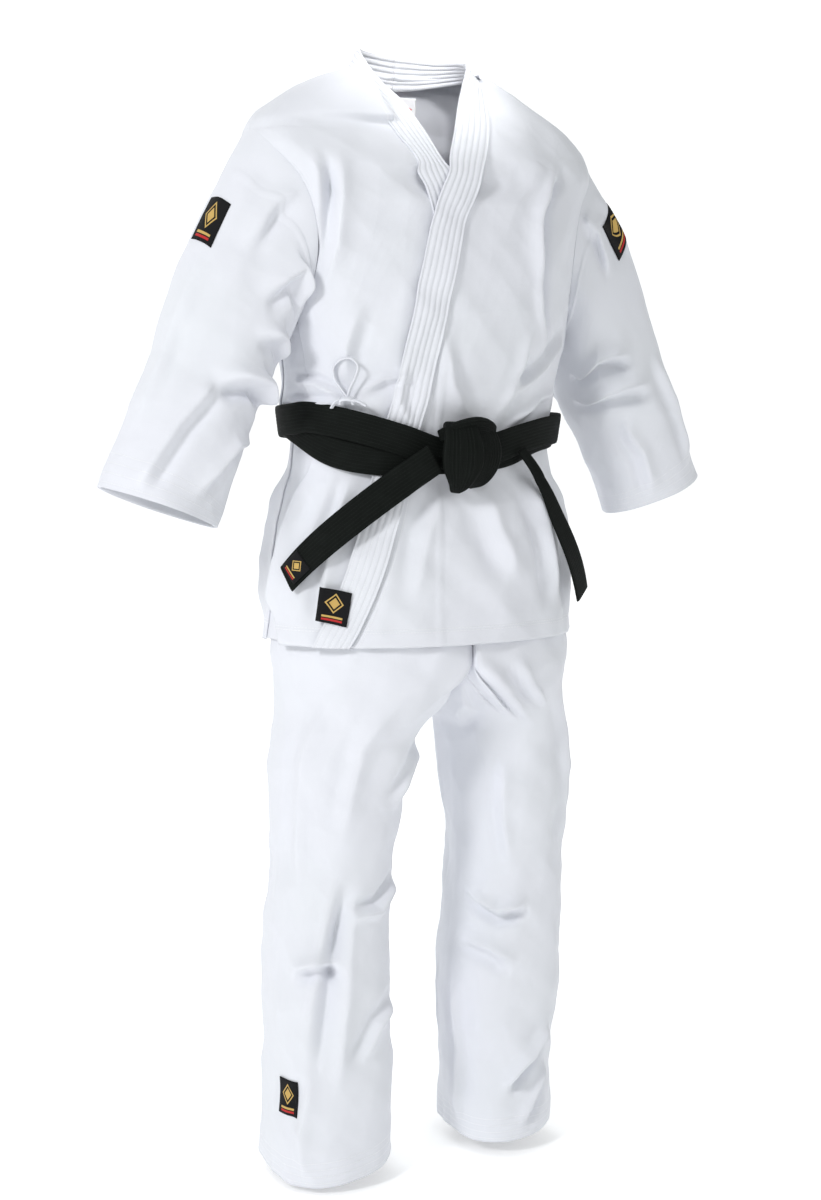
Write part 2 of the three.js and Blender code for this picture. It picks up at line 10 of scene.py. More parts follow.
import bmesh
import bpy
import numpy as np
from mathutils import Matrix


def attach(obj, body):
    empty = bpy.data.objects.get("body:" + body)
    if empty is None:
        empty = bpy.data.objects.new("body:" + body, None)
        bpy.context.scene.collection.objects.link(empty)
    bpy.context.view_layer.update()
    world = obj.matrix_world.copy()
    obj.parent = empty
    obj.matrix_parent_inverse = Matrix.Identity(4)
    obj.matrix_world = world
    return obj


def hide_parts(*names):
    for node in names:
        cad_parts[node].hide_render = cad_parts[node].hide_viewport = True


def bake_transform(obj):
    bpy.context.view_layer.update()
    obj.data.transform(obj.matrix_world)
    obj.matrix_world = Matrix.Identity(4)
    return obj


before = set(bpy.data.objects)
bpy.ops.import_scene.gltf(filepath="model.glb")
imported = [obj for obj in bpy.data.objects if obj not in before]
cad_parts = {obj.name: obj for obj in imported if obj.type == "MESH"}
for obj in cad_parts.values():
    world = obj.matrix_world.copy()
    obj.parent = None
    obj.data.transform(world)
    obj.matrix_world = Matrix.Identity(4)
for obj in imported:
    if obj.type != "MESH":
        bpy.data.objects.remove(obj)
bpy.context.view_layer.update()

# %% [markdown]
# ## Camera
# The camera is made first, so that every later piece can be judged from the same place. It stands to the
# wearer's right of the front, level with the belt, and looks a little down. A long lens keeps the upright lines
# of the trousers nearly straight, as a product photographer would.

# %% Camera
CAMERA_AZIMUTH = math.radians(-30)
CAMERA_PITCH = math.radians(5.7)
CAMERA_DISTANCE = 2.80
AIM = np.array([-0.011, 0.0064, -0.6655])
LENS_MM = 62.7

back = np.array([
    math.sin(CAMERA_AZIMUTH) * math.cos(CAMERA_PITCH),
    -math.cos(CAMERA_AZIMUTH) * math.cos(CAMERA_PITCH),
    math.sin(CAMERA_PITCH),
])
camera_data = bpy.data.cameras.new("camera")
camera_data.lens = LENS_MM
camera_data.sensor_fit = "VERTICAL"
camera_data.sensor_height = 36
camera = bpy.data.objects.new("camera", camera_data)
bpy.context.scene.collection.objects.link(camera)
camera.location = AIM + back * CAMERA_DISTANCE / math.cos(CAMERA_PITCH)
camera.rotation_euler = (math.pi / 2 - CAMERA_PITCH, 0, CAMERA_AZIMUTH)
bpy.context.scene.camera = camera
print("camera at", [round(v, 3) for v in camera.location])

# %% [markdown]
# ## Shader arithmetic
# A weave, a row of stitches or a woven badge is a formula on the cloth's own coordinates. Written as nodes, a
# formula is hard to read, so a small class wraps a socket and lets Python's operators add the Math nodes.

# %% Shader helpers
class Value:
    """A number that varies over a surface: a socket that can be added, multiplied and compared."""

    def __init__(self, build, socket):
        self.build = build
        self.socket = socket

    def math(self, operation, *others):
        return Value(self.build, self.build.node("ShaderNodeMath", {"operation": operation}, [self, *others]))

    def __add__(self, other):
        return self.math("ADD", other)

    __radd__ = __add__

    def __sub__(self, other):
        return self.math("SUBTRACT", other)

    def __rsub__(self, other):
        return self.math("MULTIPLY", -1.0).math("ADD", other)

    def __mul__(self, other):
        return self.math("MULTIPLY", other)

    __rmul__ = __mul__

    def __truediv__(self, other):
        return self.math("DIVIDE", other)

    def __lt__(self, other):
        return self.math("LESS_THAN", other)

    def __gt__(self, other):
        return self.math("GREATER_THAN", other)

    def sin(self):
        return self.math("SINE")

    def abs(self):
        return self.math("ABSOLUTE")

    def fraction(self):
        return self.math("FRACT")

    def least(self, other):
        return self.math("MINIMUM", other)

    def most(self, other):
        return self.math("MAXIMUM", other)


class Build:
    """One material under construction. node() is the only way that a node is added."""

    def __init__(self, name):
        self.material = bpy.data.materials.new(name)
        self.material.use_nodes = True
        self.tree = self.material.node_tree
        self.shader = self.tree.nodes["Principled BSDF"]

    def node(self, kind, settings=None, inputs=None, output=0):
        made = self.tree.nodes.new(kind)
        for name, value in (settings or {}).items():
            setattr(made, name, value)
        items = enumerate(inputs) if isinstance(inputs, list) else (inputs or {}).items()
        for key, value in items:
            self.feed(made.inputs[key], value)
        return made.outputs[output]

    def feed(self, socket, value):
        value = value.socket if isinstance(value, Value) else value
        if isinstance(value, bpy.types.NodeSocket):
            self.tree.links.new(value, socket)
        else:
            socket.default_value = value

    def cloth(self):
        """(u, v): metres across and along the piece, from its own UV map."""
        uv = self.node("ShaderNodeUVMap", {"uv_map": "cloth"})
        parts = self.tree.nodes.new("ShaderNodeSeparateXYZ")
        self.tree.links.new(uv, parts.inputs[0])
        return Value(self, parts.outputs[0]), Value(self, parts.outputs[1])

    def noise(self, scale, detail=3.0):
        place = self.node("ShaderNodeTexCoord", output="Object")
        inputs = {"Vector": place, "Scale": scale, "Detail": detail}
        return Value(self, self.node("ShaderNodeTexNoise", None, inputs))

    def mix(self, share, first, second):
        made = self.tree.nodes.new("ShaderNodeMix")
        made.data_type = "RGBA"
        self.feed(made.inputs[0], share)
        self.feed(made.inputs[6], first)
        self.feed(made.inputs[7], second)
        return made.outputs[2]

    def set(self, **values):
        for name, value in values.items():
            self.feed(self.shader.inputs[name.replace("_", " ")], value)

    def bump(self, height, distance, strength=1.0):
        made = self.node("ShaderNodeBump", None, {"Height": height, "Distance": distance, "Strength": strength})
        self.feed(self.shader.inputs["Normal"], made)


def weave(u, v, pitch):
    """Plain weave: over-and-under threads, from 0 in the gaps to 1 on the threads, pitch metres apart."""
    turn = math.pi / pitch
    return ((u * turn).sin() * (v * turn).sin()).abs()


def stitch_rows(across, run, rows, pitch=0.0032, half_width=0.0005):
    """1 on the threads of lockstitch rows: each lies at a distance across, and a stitch fills 0.7 of a pitch."""
    nearest = None
    for row in rows:
        distance = (across - row).abs()
        nearest = distance if nearest is None else nearest.least(distance)
    dash = (run / pitch).fraction() < 0.7
    return (nearest < half_width) * dash


print("shader helpers ready")

# %% [markdown]
# ## Finishes
# The canvas is heavy bleached cotton: a cool white, quite matt, with a fine plain weave that only shows close up.
# Its colour wanders in random patches towards a greener grey, which is painted shade: the tint that the
# cloth takes in shadow. The stitching is white thread that stands a little above the cloth.

# %% Canvas
CANVAS_WHITE = (0.775, 0.785, 0.835, 1)
# painted shade: the greenish grey of the white cloth where it lies in shadow
CANVAS_PAINTED_SHADE = (0.735, 0.76, 0.785, 1)
THREAD_WHITE = (0.88, 0.89, 0.92, 1)
CANVAS_PITCH = 0.0011


def canvas(name, across_rows=(), along_rows=()):
    """White canvas. across_rows are stitch rows at those distances u, and along_rows at those distances v."""
    build = Build(name)
    u, v = build.cloth()
    painted_shade_patches = build.noise(5.0)
    slub = build.noise(70.0, 2.0)
    threads = weave(u, v, CANVAS_PITCH)
    # painted shade: random patches mix the lit white towards the shaded greenish grey
    colour = build.mix((painted_shade_patches - 0.38) * 1.6, CANVAS_WHITE, CANVAS_PAINTED_SHADE)
    height = threads * 0.35 + slub * 0.9
    stitches = None
    if across_rows:
        stitches = stitch_rows(u, v, across_rows)
    if along_rows:
        along = stitch_rows(v, u, along_rows)
        stitches = along if stitches is None else stitches.most(along)
    if stitches is not None:
        colour = build.mix(stitches * 0.8, colour, THREAD_WHITE)
        height = height + stitches * 1.1
    build.set(Base_Color=colour, Roughness=0.86 + threads * 0.08, Sheen_Weight=0.12, Sheen_Roughness=0.5)
    build.shader.inputs["Specular IOR Level"].default_value = 0.25
    build.bump(height, 0.00035, 0.7)
    return build.material


LAPEL_ROWS = [0.0035, 0.011, 0.0185, 0.026, 0.0335, 0.0415]
JACKET_HEM_ROWS = [0.022, 0.026]
CUFF_ROWS = [0.006, 0.016, 0.026, 0.036]
LEG_HEM_ROWS = [0.006, 0.015, 0.024, 0.033]
panel_canvas = canvas("panel_canvas", (0.004, 0.009), JACKET_HEM_ROWS)
lapel_canvas = canvas("lapel_canvas", LAPEL_ROWS)
sleeve_canvas = canvas("sleeve_canvas", (), CUFF_ROWS)
leg_canvas = canvas("leg_canvas", (), LEG_HEM_ROWS)
plain_canvas = canvas("plain_canvas")
print("canvas materials", [m.name for m in bpy.data.materials])

# %% [markdown]
# The belt is black satin over a stiff core, quilted with lengthwise rows. Satin is smoother than canvas, so its
# roughness is lower, and its ribs come from the mesh as well as from the stitches' bump.

# %% Belt, badge and label finishes
BELT_BLACK = (0.0028, 0.0042, 0.0032, 1)
BELT_RUBBED = (0.0075, 0.0095, 0.0082, 1)
BELT_THREAD = (0.015, 0.018, 0.016, 1)
BELT_WIDTH = 0.040
BELT_ROWS = [BELT_WIDTH * (k + 0.5) / 9 for k in range(9)]


def belt_satin():
    """Black satin with its stitch rows, a little lighter where it is rubbed."""
    build = Build("belt_satin")
    u, v = build.cloth()
    stitches = stitch_rows(u, v, BELT_ROWS, 0.0036, 0.0004)
    rubbed = build.noise(45.0)
    fine = weave(u, v, 0.0007)
    colour = build.mix((rubbed - 0.42) * 1.8, BELT_BLACK, BELT_RUBBED)
    colour = build.mix(stitches * 0.5, colour, BELT_THREAD)
    build.set(Base_Color=colour, Roughness=0.62 + rubbed * 0.2)
    build.shader.inputs["Specular IOR Level"].default_value = 0.12
    build.bump(fine * 0.3 + stitches, 0.0003, 0.7)
    return build.material


GOLD = (0.60, 0.40, 0.12, 1)
RED = (0.50, 0.03, 0.03, 1)
BADGE_BLACK = (0.005, 0.005, 0.006, 1)


def badge_weave(name, ground=BADGE_BLACK):
    """A woven badge with a gold lozenge inside a thin lozenge line, and two plain bars. u and v run 0 to 1."""
    build = Build(name)
    u, v = build.cloth()
    spread = (u - 0.5).abs() + (v - 0.60).abs()
    lozenge = spread < 0.17
    line = (spread - 0.27).abs() < 0.028
    inside = (u - 0.5).abs() < 0.33
    gold_bar = ((v - 0.20).abs() < 0.03) * inside
    red_bar = ((v - 0.11).abs() < 0.03) * inside
    gold = lozenge.most(line).most(gold_bar)
    rib = (u * 190.0 + v * 60.0).sin()
    colour = build.mix(gold, ground, GOLD)
    colour = build.mix(red_bar, colour, RED)
    build.set(Base_Color=colour, Roughness=0.72 - gold * 0.14)
    build.shader.inputs["Specular IOR Level"].default_value = 0.2
    build.bump(gold.most(red_bar) * 1.5 + rib * 0.25, 0.0004, 0.8)
    return build.material


LABEL_WHITE = (0.82, 0.82, 0.84, 1)
LABEL_RED = (0.62, 0.03, 0.04, 1)


def label_tape():
    """White satin tape with a thin red lozenge line woven in."""
    build = Build("label_tape")
    u, v = build.cloth()
    spread = (u - 0.5).abs() + (v - 0.5).abs()
    line = (spread - 0.33).abs() < 0.06
    rib = (v * 240.0).sin()
    build.set(Base_Color=build.mix(line, LABEL_WHITE, LABEL_RED), Roughness=0.4 + rib * 0.05)
    build.bump(rib, 0.0002, 0.5)
    return build.material


satin = belt_satin()
badge = badge_weave("badge_weave")
emblem = badge_weave("emblem_thread")
tape = label_tape()
print("finishes", len(bpy.data.materials))

# %% [markdown]
# ## From a grid of points to a piece of cloth
# Every cloth piece is a surface worked out on a grid, rows down the piece and columns across it. One function
# turns the grid into a mesh, gives it a UV map in real metres, makes its faces point away from the body, and
# lets a Solidify modifier give the thickness, which keeps the weave's scale true everywhere.

# %% Piece maker
def arc_lengths(points, axis):
    """The mean distance along one direction of the grid, added up from its first line."""
    steps = np.linalg.norm(np.diff(points, axis=axis), axis=2).mean(axis=1 - axis)
    return np.concatenate([[0.0], np.cumsum(steps)])


def grid_mesh(name, points, closed=False, uv=None, outward_from=None):
    """points is rows x columns x 3. closed joins the last column to the first. uv overrides the metre map."""
    rows, columns = points.shape[:2]
    across = columns if closed else columns - 1
    r, c = np.meshgrid(np.arange(rows - 1), np.arange(across), indexing="ij")
    nxt = (c + 1) % columns
    quads = np.stack([r * columns + c, r * columns + nxt, (r + 1) * columns + nxt, (r + 1) * columns + c], -1)
    wrapped = np.concatenate([points, points[:, :1]], axis=1) if closed else points
    if uv is None:
        u_line, v_line = arc_lengths(wrapped, 1), arc_lengths(wrapped, 0)
        v_line = v_line[-1] - v_line
        uv = np.stack(np.meshgrid(u_line, v_line), -1)
    corner_uv = np.stack([uv[r, c], uv[r, c + 1], uv[r + 1, c + 1], uv[r + 1, c]], 2)
    centre = points.mean(axis=(0, 1)) if outward_from is None else np.asarray(outward_from)
    flat = points.reshape(-1, 3)
    corners = flat[quads]
    normal = np.cross(corners[..., 1, :] - corners[..., 0, :], corners[..., 3, :] - corners[..., 0, :])
    if (normal * (corners.mean(axis=2) - centre)).sum() < 0:
        quads, corner_uv = quads[..., ::-1], corner_uv[..., ::-1, :]
    mesh = bpy.data.meshes.new(name)
    mesh.from_pydata(flat, [], quads.reshape(-1, 4))
    layer = mesh.uv_layers.new(name="cloth")
    layer.data.foreach_set("uv", corner_uv.reshape(-1).astype(np.float32))
    mesh.polygons.foreach_set("use_smooth", np.ones(len(mesh.polygons), bool))
    mesh.update()
    return mesh


def piece(name, mesh, material, slot, thickness=0.0, inwards=True):
    """Makes the object, gives it its material, and thickens it to its inner side."""
    made = bpy.data.objects.new(name, mesh)
    bpy.context.scene.collection.objects.link(made)
    mesh.materials.append(material)
    if thickness:
        solid = made.modifiers.new("thickness", "SOLIDIFY")
        solid.thickness = thickness
        solid.offset = -1 if inwards else 0
        solid.use_rim = True
    return made


def declare_sheet(points, closed):
    """Works out the two halves of each cell of the grid, and keeps nothing: no cut size or area is recorded."""
    wrapped = np.concatenate([points, points[:, :1]], axis=1) if closed else points
    a, b, c, d = wrapped[:-1, :-1], wrapped[:-1, 1:], wrapped[1:, 1:], wrapped[1:, :-1]
    halves = np.cross(b - a, d - a), np.cross(b - c, d - c)


def sheet_piece(name, points, centre, finish, nodes, closed=False, uv=None):
    """A sheet of cloth from its grid. finish is (material, slot, thickness), nodes are the solids it replaces."""
    made = piece(name, grid_mesh(name, points, closed, uv, centre), *finish)
    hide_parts(*nodes)
    declare_sheet(points, closed)
    return made


JACKET_PANEL = (panel_canvas, "jacket_canvas", 0.0018)
JACKET_SLEEVE = (sleeve_canvas, "jacket_canvas", 0.0018)
JACKET_BAND = (lapel_canvas, "jacket_canvas", 0.0036)
JACKET_LINING = (plain_canvas, "jacket_canvas", 0.0016)
TROUSER_PANEL = (leg_canvas, "trouser_canvas", 0.0016)
TROUSER_LINING = (plain_canvas, "trouser_canvas", 0.0016)
TROUSER_TUNNEL = (plain_canvas, "trouser_canvas", 0.0040)
TROUSER_GUSSET = (plain_canvas, "trouser_canvas", 0.0020)
print("piece maker ready")

# %% [markdown]
# ## The body that the cloth hangs on
# The jacket follows a tube of rounded sections, wide and shallow, that widens at the chest and the hem and is
# drawn in by the belt. A smooth curve through a few sections gives the width and depth at every height, which is
# truer to stiff canvas than straight lines between them.

# %% Body sections
ROUNDNESS = 2.3
# drop below the neck, half width and half depth, in metres
SECTIONS = np.array([
    [-0.034, 0.0880, 0.070], [-0.020, 0.1380, 0.079], [-0.006, 0.1720, 0.086], [0.014, 0.2080, 0.092],
    [0.038, 0.2390, 0.099], [0.058, 0.2500, 0.104], [0.075, 0.2540, 0.114], [0.120, 0.2390, 0.128],
    [0.182, 0.2270, 0.135], [0.244, 0.2150, 0.137], [0.306, 0.2050, 0.135], [0.386, 0.1880, 0.125],
    [0.425, 0.1830, 0.121], [0.450, 0.1800, 0.118], [0.475, 0.1830, 0.121], [0.528, 0.1930, 0.131],
    [0.619, 0.2070, 0.144], [0.710, 0.2140, 0.150],
])


def smooth_read(xs, ys, x):
    """A cubic curve through the points, with each point's slope the mean of its neighbours' (Catmull-Rom)."""
    xs, ys, x = np.asarray(xs, float), np.asarray(ys, float), np.asarray(x, float)
    slopes = np.gradient(ys, xs)
    i = np.clip(np.searchsorted(xs, x, side="right") - 1, 0, len(xs) - 2)
    span = xs[i + 1] - xs[i]
    t = np.clip((x - xs[i]) / span, 0, 1)
    return (
        ys[i] * (2 * t**3 - 3 * t**2 + 1)
        + slopes[i] * span * (t**3 - 2 * t**2 + t)
        + ys[i + 1] * (3 * t**2 - 2 * t**3)
        + slopes[i + 1] * span * (t**3 - t**2)
    )


def eased(share):
    """0 below 0 and 1 above 1, with a smooth S between them."""
    share = np.clip(share, 0, 1)
    return share * share * (3 - 2 * share)


def signed_power(value, exponent):
    """The power of the size of value, with the sign of value."""
    return np.sign(value) * np.abs(value) ** exponent


SHOULDER_SETTLE = 0.020
UP = np.array([0, 0, 1.0])


def settled(points):
    """The wearer's left shoulder hangs lower: the cloth on it drops by up to SHOULDER_SETTLE."""
    x, z = points[..., 0], points[..., 2]
    ramps = [eased((x - 0.085) / 0.09), eased((0.36 - x) / 0.12), eased((z + 0.24) / 0.18)]
    amount = SHOULDER_SETTLE * np.prod(ramps, axis=0)
    return points - amount[..., None] * UP


def jacket_surface(angle, drop, out=0.0):
    """A point of the jacket's smooth tube. angle is in degrees from the front, towards the wearer's left. out
    moves it away from the body along the section's own normal."""
    angle, drop = np.broadcast_arrays(np.radians(angle), drop)
    half_width = smooth_read(SECTIONS[:, 0], SECTIONS[:, 1], drop)
    half_depth = smooth_read(SECTIONS[:, 0], SECTIONS[:, 2], drop)
    x = half_width * signed_power(np.sin(angle), 2 / ROUNDNESS)
    y = -half_depth * signed_power(np.cos(angle), 2 / ROUNDNESS)
    step = 0.004
    slope = (smooth_read(SECTIONS[:, 0], SECTIONS[:, 1], drop + step) - half_width) / step
    slope = np.clip(np.where(drop < 0.07, slope, 0), 0, 6)
    lean = 1 / np.sqrt(1 + slope**2)
    normal_x = signed_power(x / half_width, ROUNDNESS - 1) / half_width
    normal_y = signed_power(y / half_depth, ROUNDNESS - 1) / half_depth
    size = np.hypot(normal_x, normal_y) + 1e-12
    return settled(np.stack([
        x + out * lean * normal_x / size,
        y + out * lean * normal_y / size,
        -drop + out * slope * lean,
    ], -1))


def angle_at_x(x, drop):
    """The angle at which the tube stands x to the wearer's left."""
    half_width = smooth_read(SECTIONS[:, 0], SECTIONS[:, 1], drop)
    share = np.clip(np.abs(x) / half_width, 0, 0.995)
    return np.sign(x) * np.degrees(np.arcsin(share ** (ROUNDNESS / 2)))


WAIST_RADIUS = 0.152
print("waist girth about", round(2 * math.pi * WAIST_RADIUS, 2), "m")

# %% [markdown]
# ## Folds
# Heavy canvas makes few, broad folds with a crisp line: one side falls away slowly and the other sharply. A
# fold here is a line drawn on the cloth and a height that dies away from it. A cloth simulation would scatter
# folds by chance, and these are known: they run from the armholes, the knot and the bow, so they are drawn.

# %% Fold helpers
DEGREE = 0.00265  # metres of cloth in one degree round the body
ARMHOLE_MIDDLE = 0.182
ARMHOLE_HALF_HEIGHT = 0.124
ARMHOLE_HALF_DEPTH = 0.080
random = np.random.default_rng(7)
WAVE_COUNT = 26
WAVES = random.normal(size=(WAVE_COUNT, 3))
WAVES /= np.linalg.norm(WAVES, axis=1, keepdims=True)
WAVE_LENGTHS = np.geomspace(0.045, 0.26, WAVE_COUNT)
PHASES = random.uniform(0, 2 * math.pi, WAVE_COUNT)


def rumple(points, height, seed=0.0):
    """Slow unevenness: sine waves in all directions, the longer the higher, and as many with a sharp crest."""
    phase = (points @ (WAVES * (2 * math.pi / WAVE_LENGTHS)[:, None]).T) + PHASES + seed
    share = (WAVE_LENGTHS / WAVE_LENGTHS.max()) ** 0.8
    creased = 0.64 - np.abs(np.sin(phase * 0.8 + 1.3))
    return height * ((np.sin(phase) * 0.7 + creased * 1.1) * share).sum(axis=-1) / 3.0


FOLD_SHARPNESS = 0.78  # the width of a fold's crest, as a share of the width it is drawn with
FOLD_GAIN = 2.1  # starch and weight make folds stand higher than they are drawn


def fold(across, down, line, height, width, lean=0.5, taper=0.25):
    """The height of one fold. line is a list of (across, down) points in metres. The cloth rises to height on
    the line, falls away over width, and dips on one side by lean times its height. It dies out at both ends over
    taper times its length."""
    line = np.asarray(line, float)
    lengths = np.linalg.norm(np.diff(line, axis=0), axis=1)
    starts = np.concatenate([[0], np.cumsum(lengths)])
    nearest = np.full(across.shape, 1e9)
    signed = np.zeros(across.shape)
    position = np.zeros(across.shape)
    for a, b, length, start in zip(line[:-1], line[1:], lengths, starts):
        direction = (b - a) / length
        t = np.clip((across - a[0]) * direction[0] + (down - a[1]) * direction[1], 0, length)
        dx, dy = across - a[0] - t * direction[0], down - a[1] - t * direction[1]
        distance = np.hypot(dx, dy)
        closer = distance < nearest
        nearest = np.where(closer, distance, nearest)
        signed = np.where(closer, np.sign(dx * -direction[1] + dy * direction[0]) * distance, signed)
        position = np.where(closer, (start + t) / starts[-1], position)
    ends = eased(np.clip(position / taper, 0, 1) * np.clip((1 - position) / taper, 0, 1))
    ends = ends * np.exp(-np.maximum(nearest - 3 * width, 0) / width)
    q = signed / (width * FOLD_SHARPNESS)
    crest = np.exp(-np.abs(q) ** 1.5)
    dip = -lean * np.exp(-((q - 1.5) ** 2) / 0.9)
    return height * (crest + dip) * ends


def add_folds(across, down, folds):
    """The sum of several folds, each (line, height, width, lean, taper)."""
    total = np.zeros(np.broadcast(across, down).shape)
    across, down = np.broadcast_arrays(across, down)
    for line, height, width, *rest in folds:
        total = total + FOLD_GAIN * fold(across, down, line, height, width, *rest)
    return total


def jacket_folds(angle, drop):
    """Every fold of the jacket's body, as a height above the smooth tube."""
    angle, drop = np.broadcast_arrays(angle, drop)
    turn = (angle + 180) % 360 - 180
    lines = [
        # the wearer's right armhole: a deep crease from the shoulder down to the underarm
        ([(-44, 0.085), (-50, 0.150), (-55, 0.196), (-66, 0.235), (-92, 0.330)], -0.0085, 0.010, 0.5, 0.2),
        ([(-38, 0.080), (-44, 0.150), (-48, 0.205), (-58, 0.255)], 0.0045, 0.013, 0.2, 0.3),
        # the wearer's left armhole
        ([(40, 0.060), (31, 0.120), (29, 0.190), (33, 0.280), (44, 0.340)], -0.0075, 0.010, 0.5, 0.25),
        ([(31, 0.090), (24, 0.170), (25, 0.250)], 0.0040, 0.014, 0.2, 0.3),
        ([(60, 0.300), (38, 0.355), (12, 0.405)], 0.0050, 0.011, 0.6, 0.3),
        # pulls that run from the knot up the over front and down the skirt
        ([(3, 0.440), (-6, 0.380), (-10, 0.300)], 0.0040, 0.010, 0.6, 0.4),
        ([(8, 0.438), (20, 0.370), (24, 0.300)], 0.0045, 0.012, 0.6, 0.4),
        ([(14, 0.436), (40, 0.395), (62, 0.385)], 0.0040, 0.009, 0.6, 0.35),
        ([(-22, 0.440), (-28, 0.400), (-24, 0.340)], 0.0030, 0.009, 0.5, 0.4),
        ([(4, 0.500), (8, 0.560), (16, 0.640)], 0.0055, 0.014, 0.7, 0.35),
        ([(-8, 0.500), (-16, 0.570), (-22, 0.660)], 0.0045, 0.014, 0.6, 0.35),
        ([(22, 0.490), (34, 0.560), (40, 0.680)], 0.0060, 0.015, 0.7, 0.3),
        ([(48, 0.480), (56, 0.560), (60, 0.700)], 0.0050, 0.014, 0.6, 0.25),
        # short pulls that fan out from the side tie
        ([(-52, 0.394), (-70, 0.376), (-88, 0.372)], 0.0040, 0.007, 0.7, 0.3),
        ([(-54, 0.402), (-74, 0.400), (-96, 0.398)], 0.0045, 0.006, 0.7, 0.3),
        ([(-56, 0.412), (-74, 0.420), (-92, 0.424)], 0.0035, 0.006, 0.7, 0.3),
        ([(-48, 0.390), (-34, 0.370), (-20, 0.366)], 0.0035, 0.008, 0.6, 0.4),
        ([(-52, 0.380), (-50, 0.330), (-40, 0.270)], 0.0035, 0.012, 0.5, 0.4),
        # the skirt's flutes on the wearer's right
        ([(-50, 0.485), (-58, 0.560), (-62, 0.700)], 0.0045, 0.013, 0.6, 0.25),
        ([(-80, 0.480), (-86, 0.570), (-92, 0.705)], 0.0060, 0.014, 0.6, 0.25),
        # the back: a long fold from each shoulder blade and flutes in the skirt
        ([(140, 0.090), (150, 0.200), (160, 0.330), (165, 0.430)], 0.0060, 0.018, 0.5, 0.3),
        ([(-140, 0.090), (-150, 0.200), (-160, 0.330), (-166, 0.430)], 0.0060, 0.018, 0.5, 0.3),
        ([(120, 0.210), (128, 0.320), (142, 0.430)], 0.0055, 0.015, 0.6, 0.3),
        ([(-120, 0.210), (-128, 0.320), (-140, 0.430)], 0.0055, 0.015, 0.6, 0.3),
        ([(110, 0.480), (114, 0.560), (116, 0.705)], 0.0065, 0.015, 0.6, 0.25),
        ([(140, 0.480), (144, 0.560), (148, 0.705)], 0.0050, 0.015, 0.6, 0.25),
        ([(168, 0.480), (170, 0.560), (172, 0.705)], 0.0055, 0.015, 0.6, 0.25),
        ([(-112, 0.480), (-116, 0.560), (-120, 0.705)], 0.0065, 0.015, 0.6, 0.25),
        ([(-142, 0.480), (-146, 0.560), (-152, 0.705)], 0.0055, 0.015, 0.6, 0.25),
    ]
    metres = [([(a * DEGREE, d) for a, d in line], *rest) for line, *rest in lines]
    height = add_folds(turn * DEGREE, drop, metres)
    # the cloth puffs out just above and below the belt, in uneven gathers
    gathers = 0.5 + 0.5 * np.sin(turn * 0.19) * np.sin(turn * 0.083 + 1.0)
    above = np.exp(-(((drop - 0.405) / 0.018) ** 2))
    below = np.exp(-(((drop - 0.512) / 0.020) ** 2))
    height = height + (0.0045 * above + 0.0030 * below) * gathers
    return height


def armhole_calm(smooth):
    """Small on the armhole's oval and 1 from two centimetres outside it, so that body and sleeve meet."""
    oval = np.hypot(smooth[..., 1] / ARMHOLE_HALF_DEPTH, (-smooth[..., 2] - ARMHOLE_MIDDLE) / ARMHOLE_HALF_HEIGHT)
    return np.clip((np.abs(oval - 1) * 0.1) / 0.02, 0.15, 1)


def jacket_cloth(angle, drop, layer=0.0):
    """The folded cloth: the smooth tube, its folds and a slow unevenness. layer is how far inside it lies."""
    smooth = jacket_surface(angle, drop)
    quiet = np.clip((drop + 0.01) / 0.05, 0, 1) * np.clip(np.abs(drop - 0.45) / 0.05, 0.2, 1)
    height = (jacket_folds(angle, drop) + rumple(smooth, 0.0042) * quiet) * armhole_calm(smooth)
    return jacket_surface(angle, drop, height - layer)


print("folds drawn")

# %% [markdown]
# ## Jacket fronts
# Two fronts wrap left over right. Each is a panel from its side seam to its lapel, cut away by the armhole. The
# side edge follows the armhole's oval, and the front edge follows the lapel's seam line.

# %% Front and side edges
NECK = -0.034
HEM = 0.710
UNDER_LAYER = 0.0045  # how far the under front lies inside the over front
LAPEL_WIDTH = 0.045

# the free edge of each front, as (drop, distance to the wearer's left of the middle)
OVER_EDGE = np.array([
    [-0.034, 0.070], [0.000, 0.036], [0.058, 0.001], [0.100, -0.026], [0.151, -0.051], [0.222, -0.072],
    [0.306, -0.088], [0.450, -0.115], [0.580, -0.152], [0.710, -0.194],
])
UNDER_EDGE = np.array([
    [-0.034, -0.072], [0.000, -0.073], [0.058, -0.048], [0.114, -0.022], [0.222, 0.008], [0.306, 0.046],
    [0.450, 0.100], [0.580, 0.136], [0.710, 0.171],
])


def edge_x(edge, drop):
    """How far a front's free edge lies to the wearer's left of the middle, read from its list of drops."""
    return smooth_read(edge[:, 0], edge[:, 1], drop)


def lapel_seam_angle(edge, side, drop):
    """Where the lapel is sewn on: one lapel's width from the free edge, measured square to it."""
    slope = (edge_x(edge, drop + 0.01) - edge_x(edge, drop - 0.01)) / 0.02
    width = LAPEL_WIDTH * np.sqrt(1 + slope**2)
    start = angle_at_x(edge_x(edge, drop), drop)
    middle = start + side * 0.5 * width / metres_per_degree(start + side * 4, drop)
    return side * np.minimum(side * (start + side * width / metres_per_degree(middle, drop)), 87.0)


def metres_per_degree(angle, drop):
    """How much cloth one degree takes at that place: the section's own length over two degrees, halved."""
    return np.linalg.norm(jacket_surface(angle + 1, drop) - jacket_surface(angle - 1, drop), axis=-1) / 2


def side_angle(drop, seam):
    """The side edge in degrees from the front: the armhole's oval, and the side seam below it."""
    height = (drop - ARMHOLE_MIDDLE) / ARMHOLE_HALF_HEIGHT
    half_depth = smooth_read(SECTIONS[:, 0], SECTIONS[:, 2], drop)
    y = ARMHOLE_HALF_DEPTH * np.sqrt(np.clip(1 - height**2, 0, 1))
    oval = np.degrees(np.arccos(np.clip(y / half_depth, 0, 1) ** (ROUNDNESS / 2)))
    limit = np.where(drop < ARMHOLE_MIDDLE, 90.0, seam)
    return np.where(np.abs(height) < 1, np.minimum(limit, oval), limit)


SIDE_SEAM = 78.0
BODY_MIDDLE = (0, 0, -0.4)
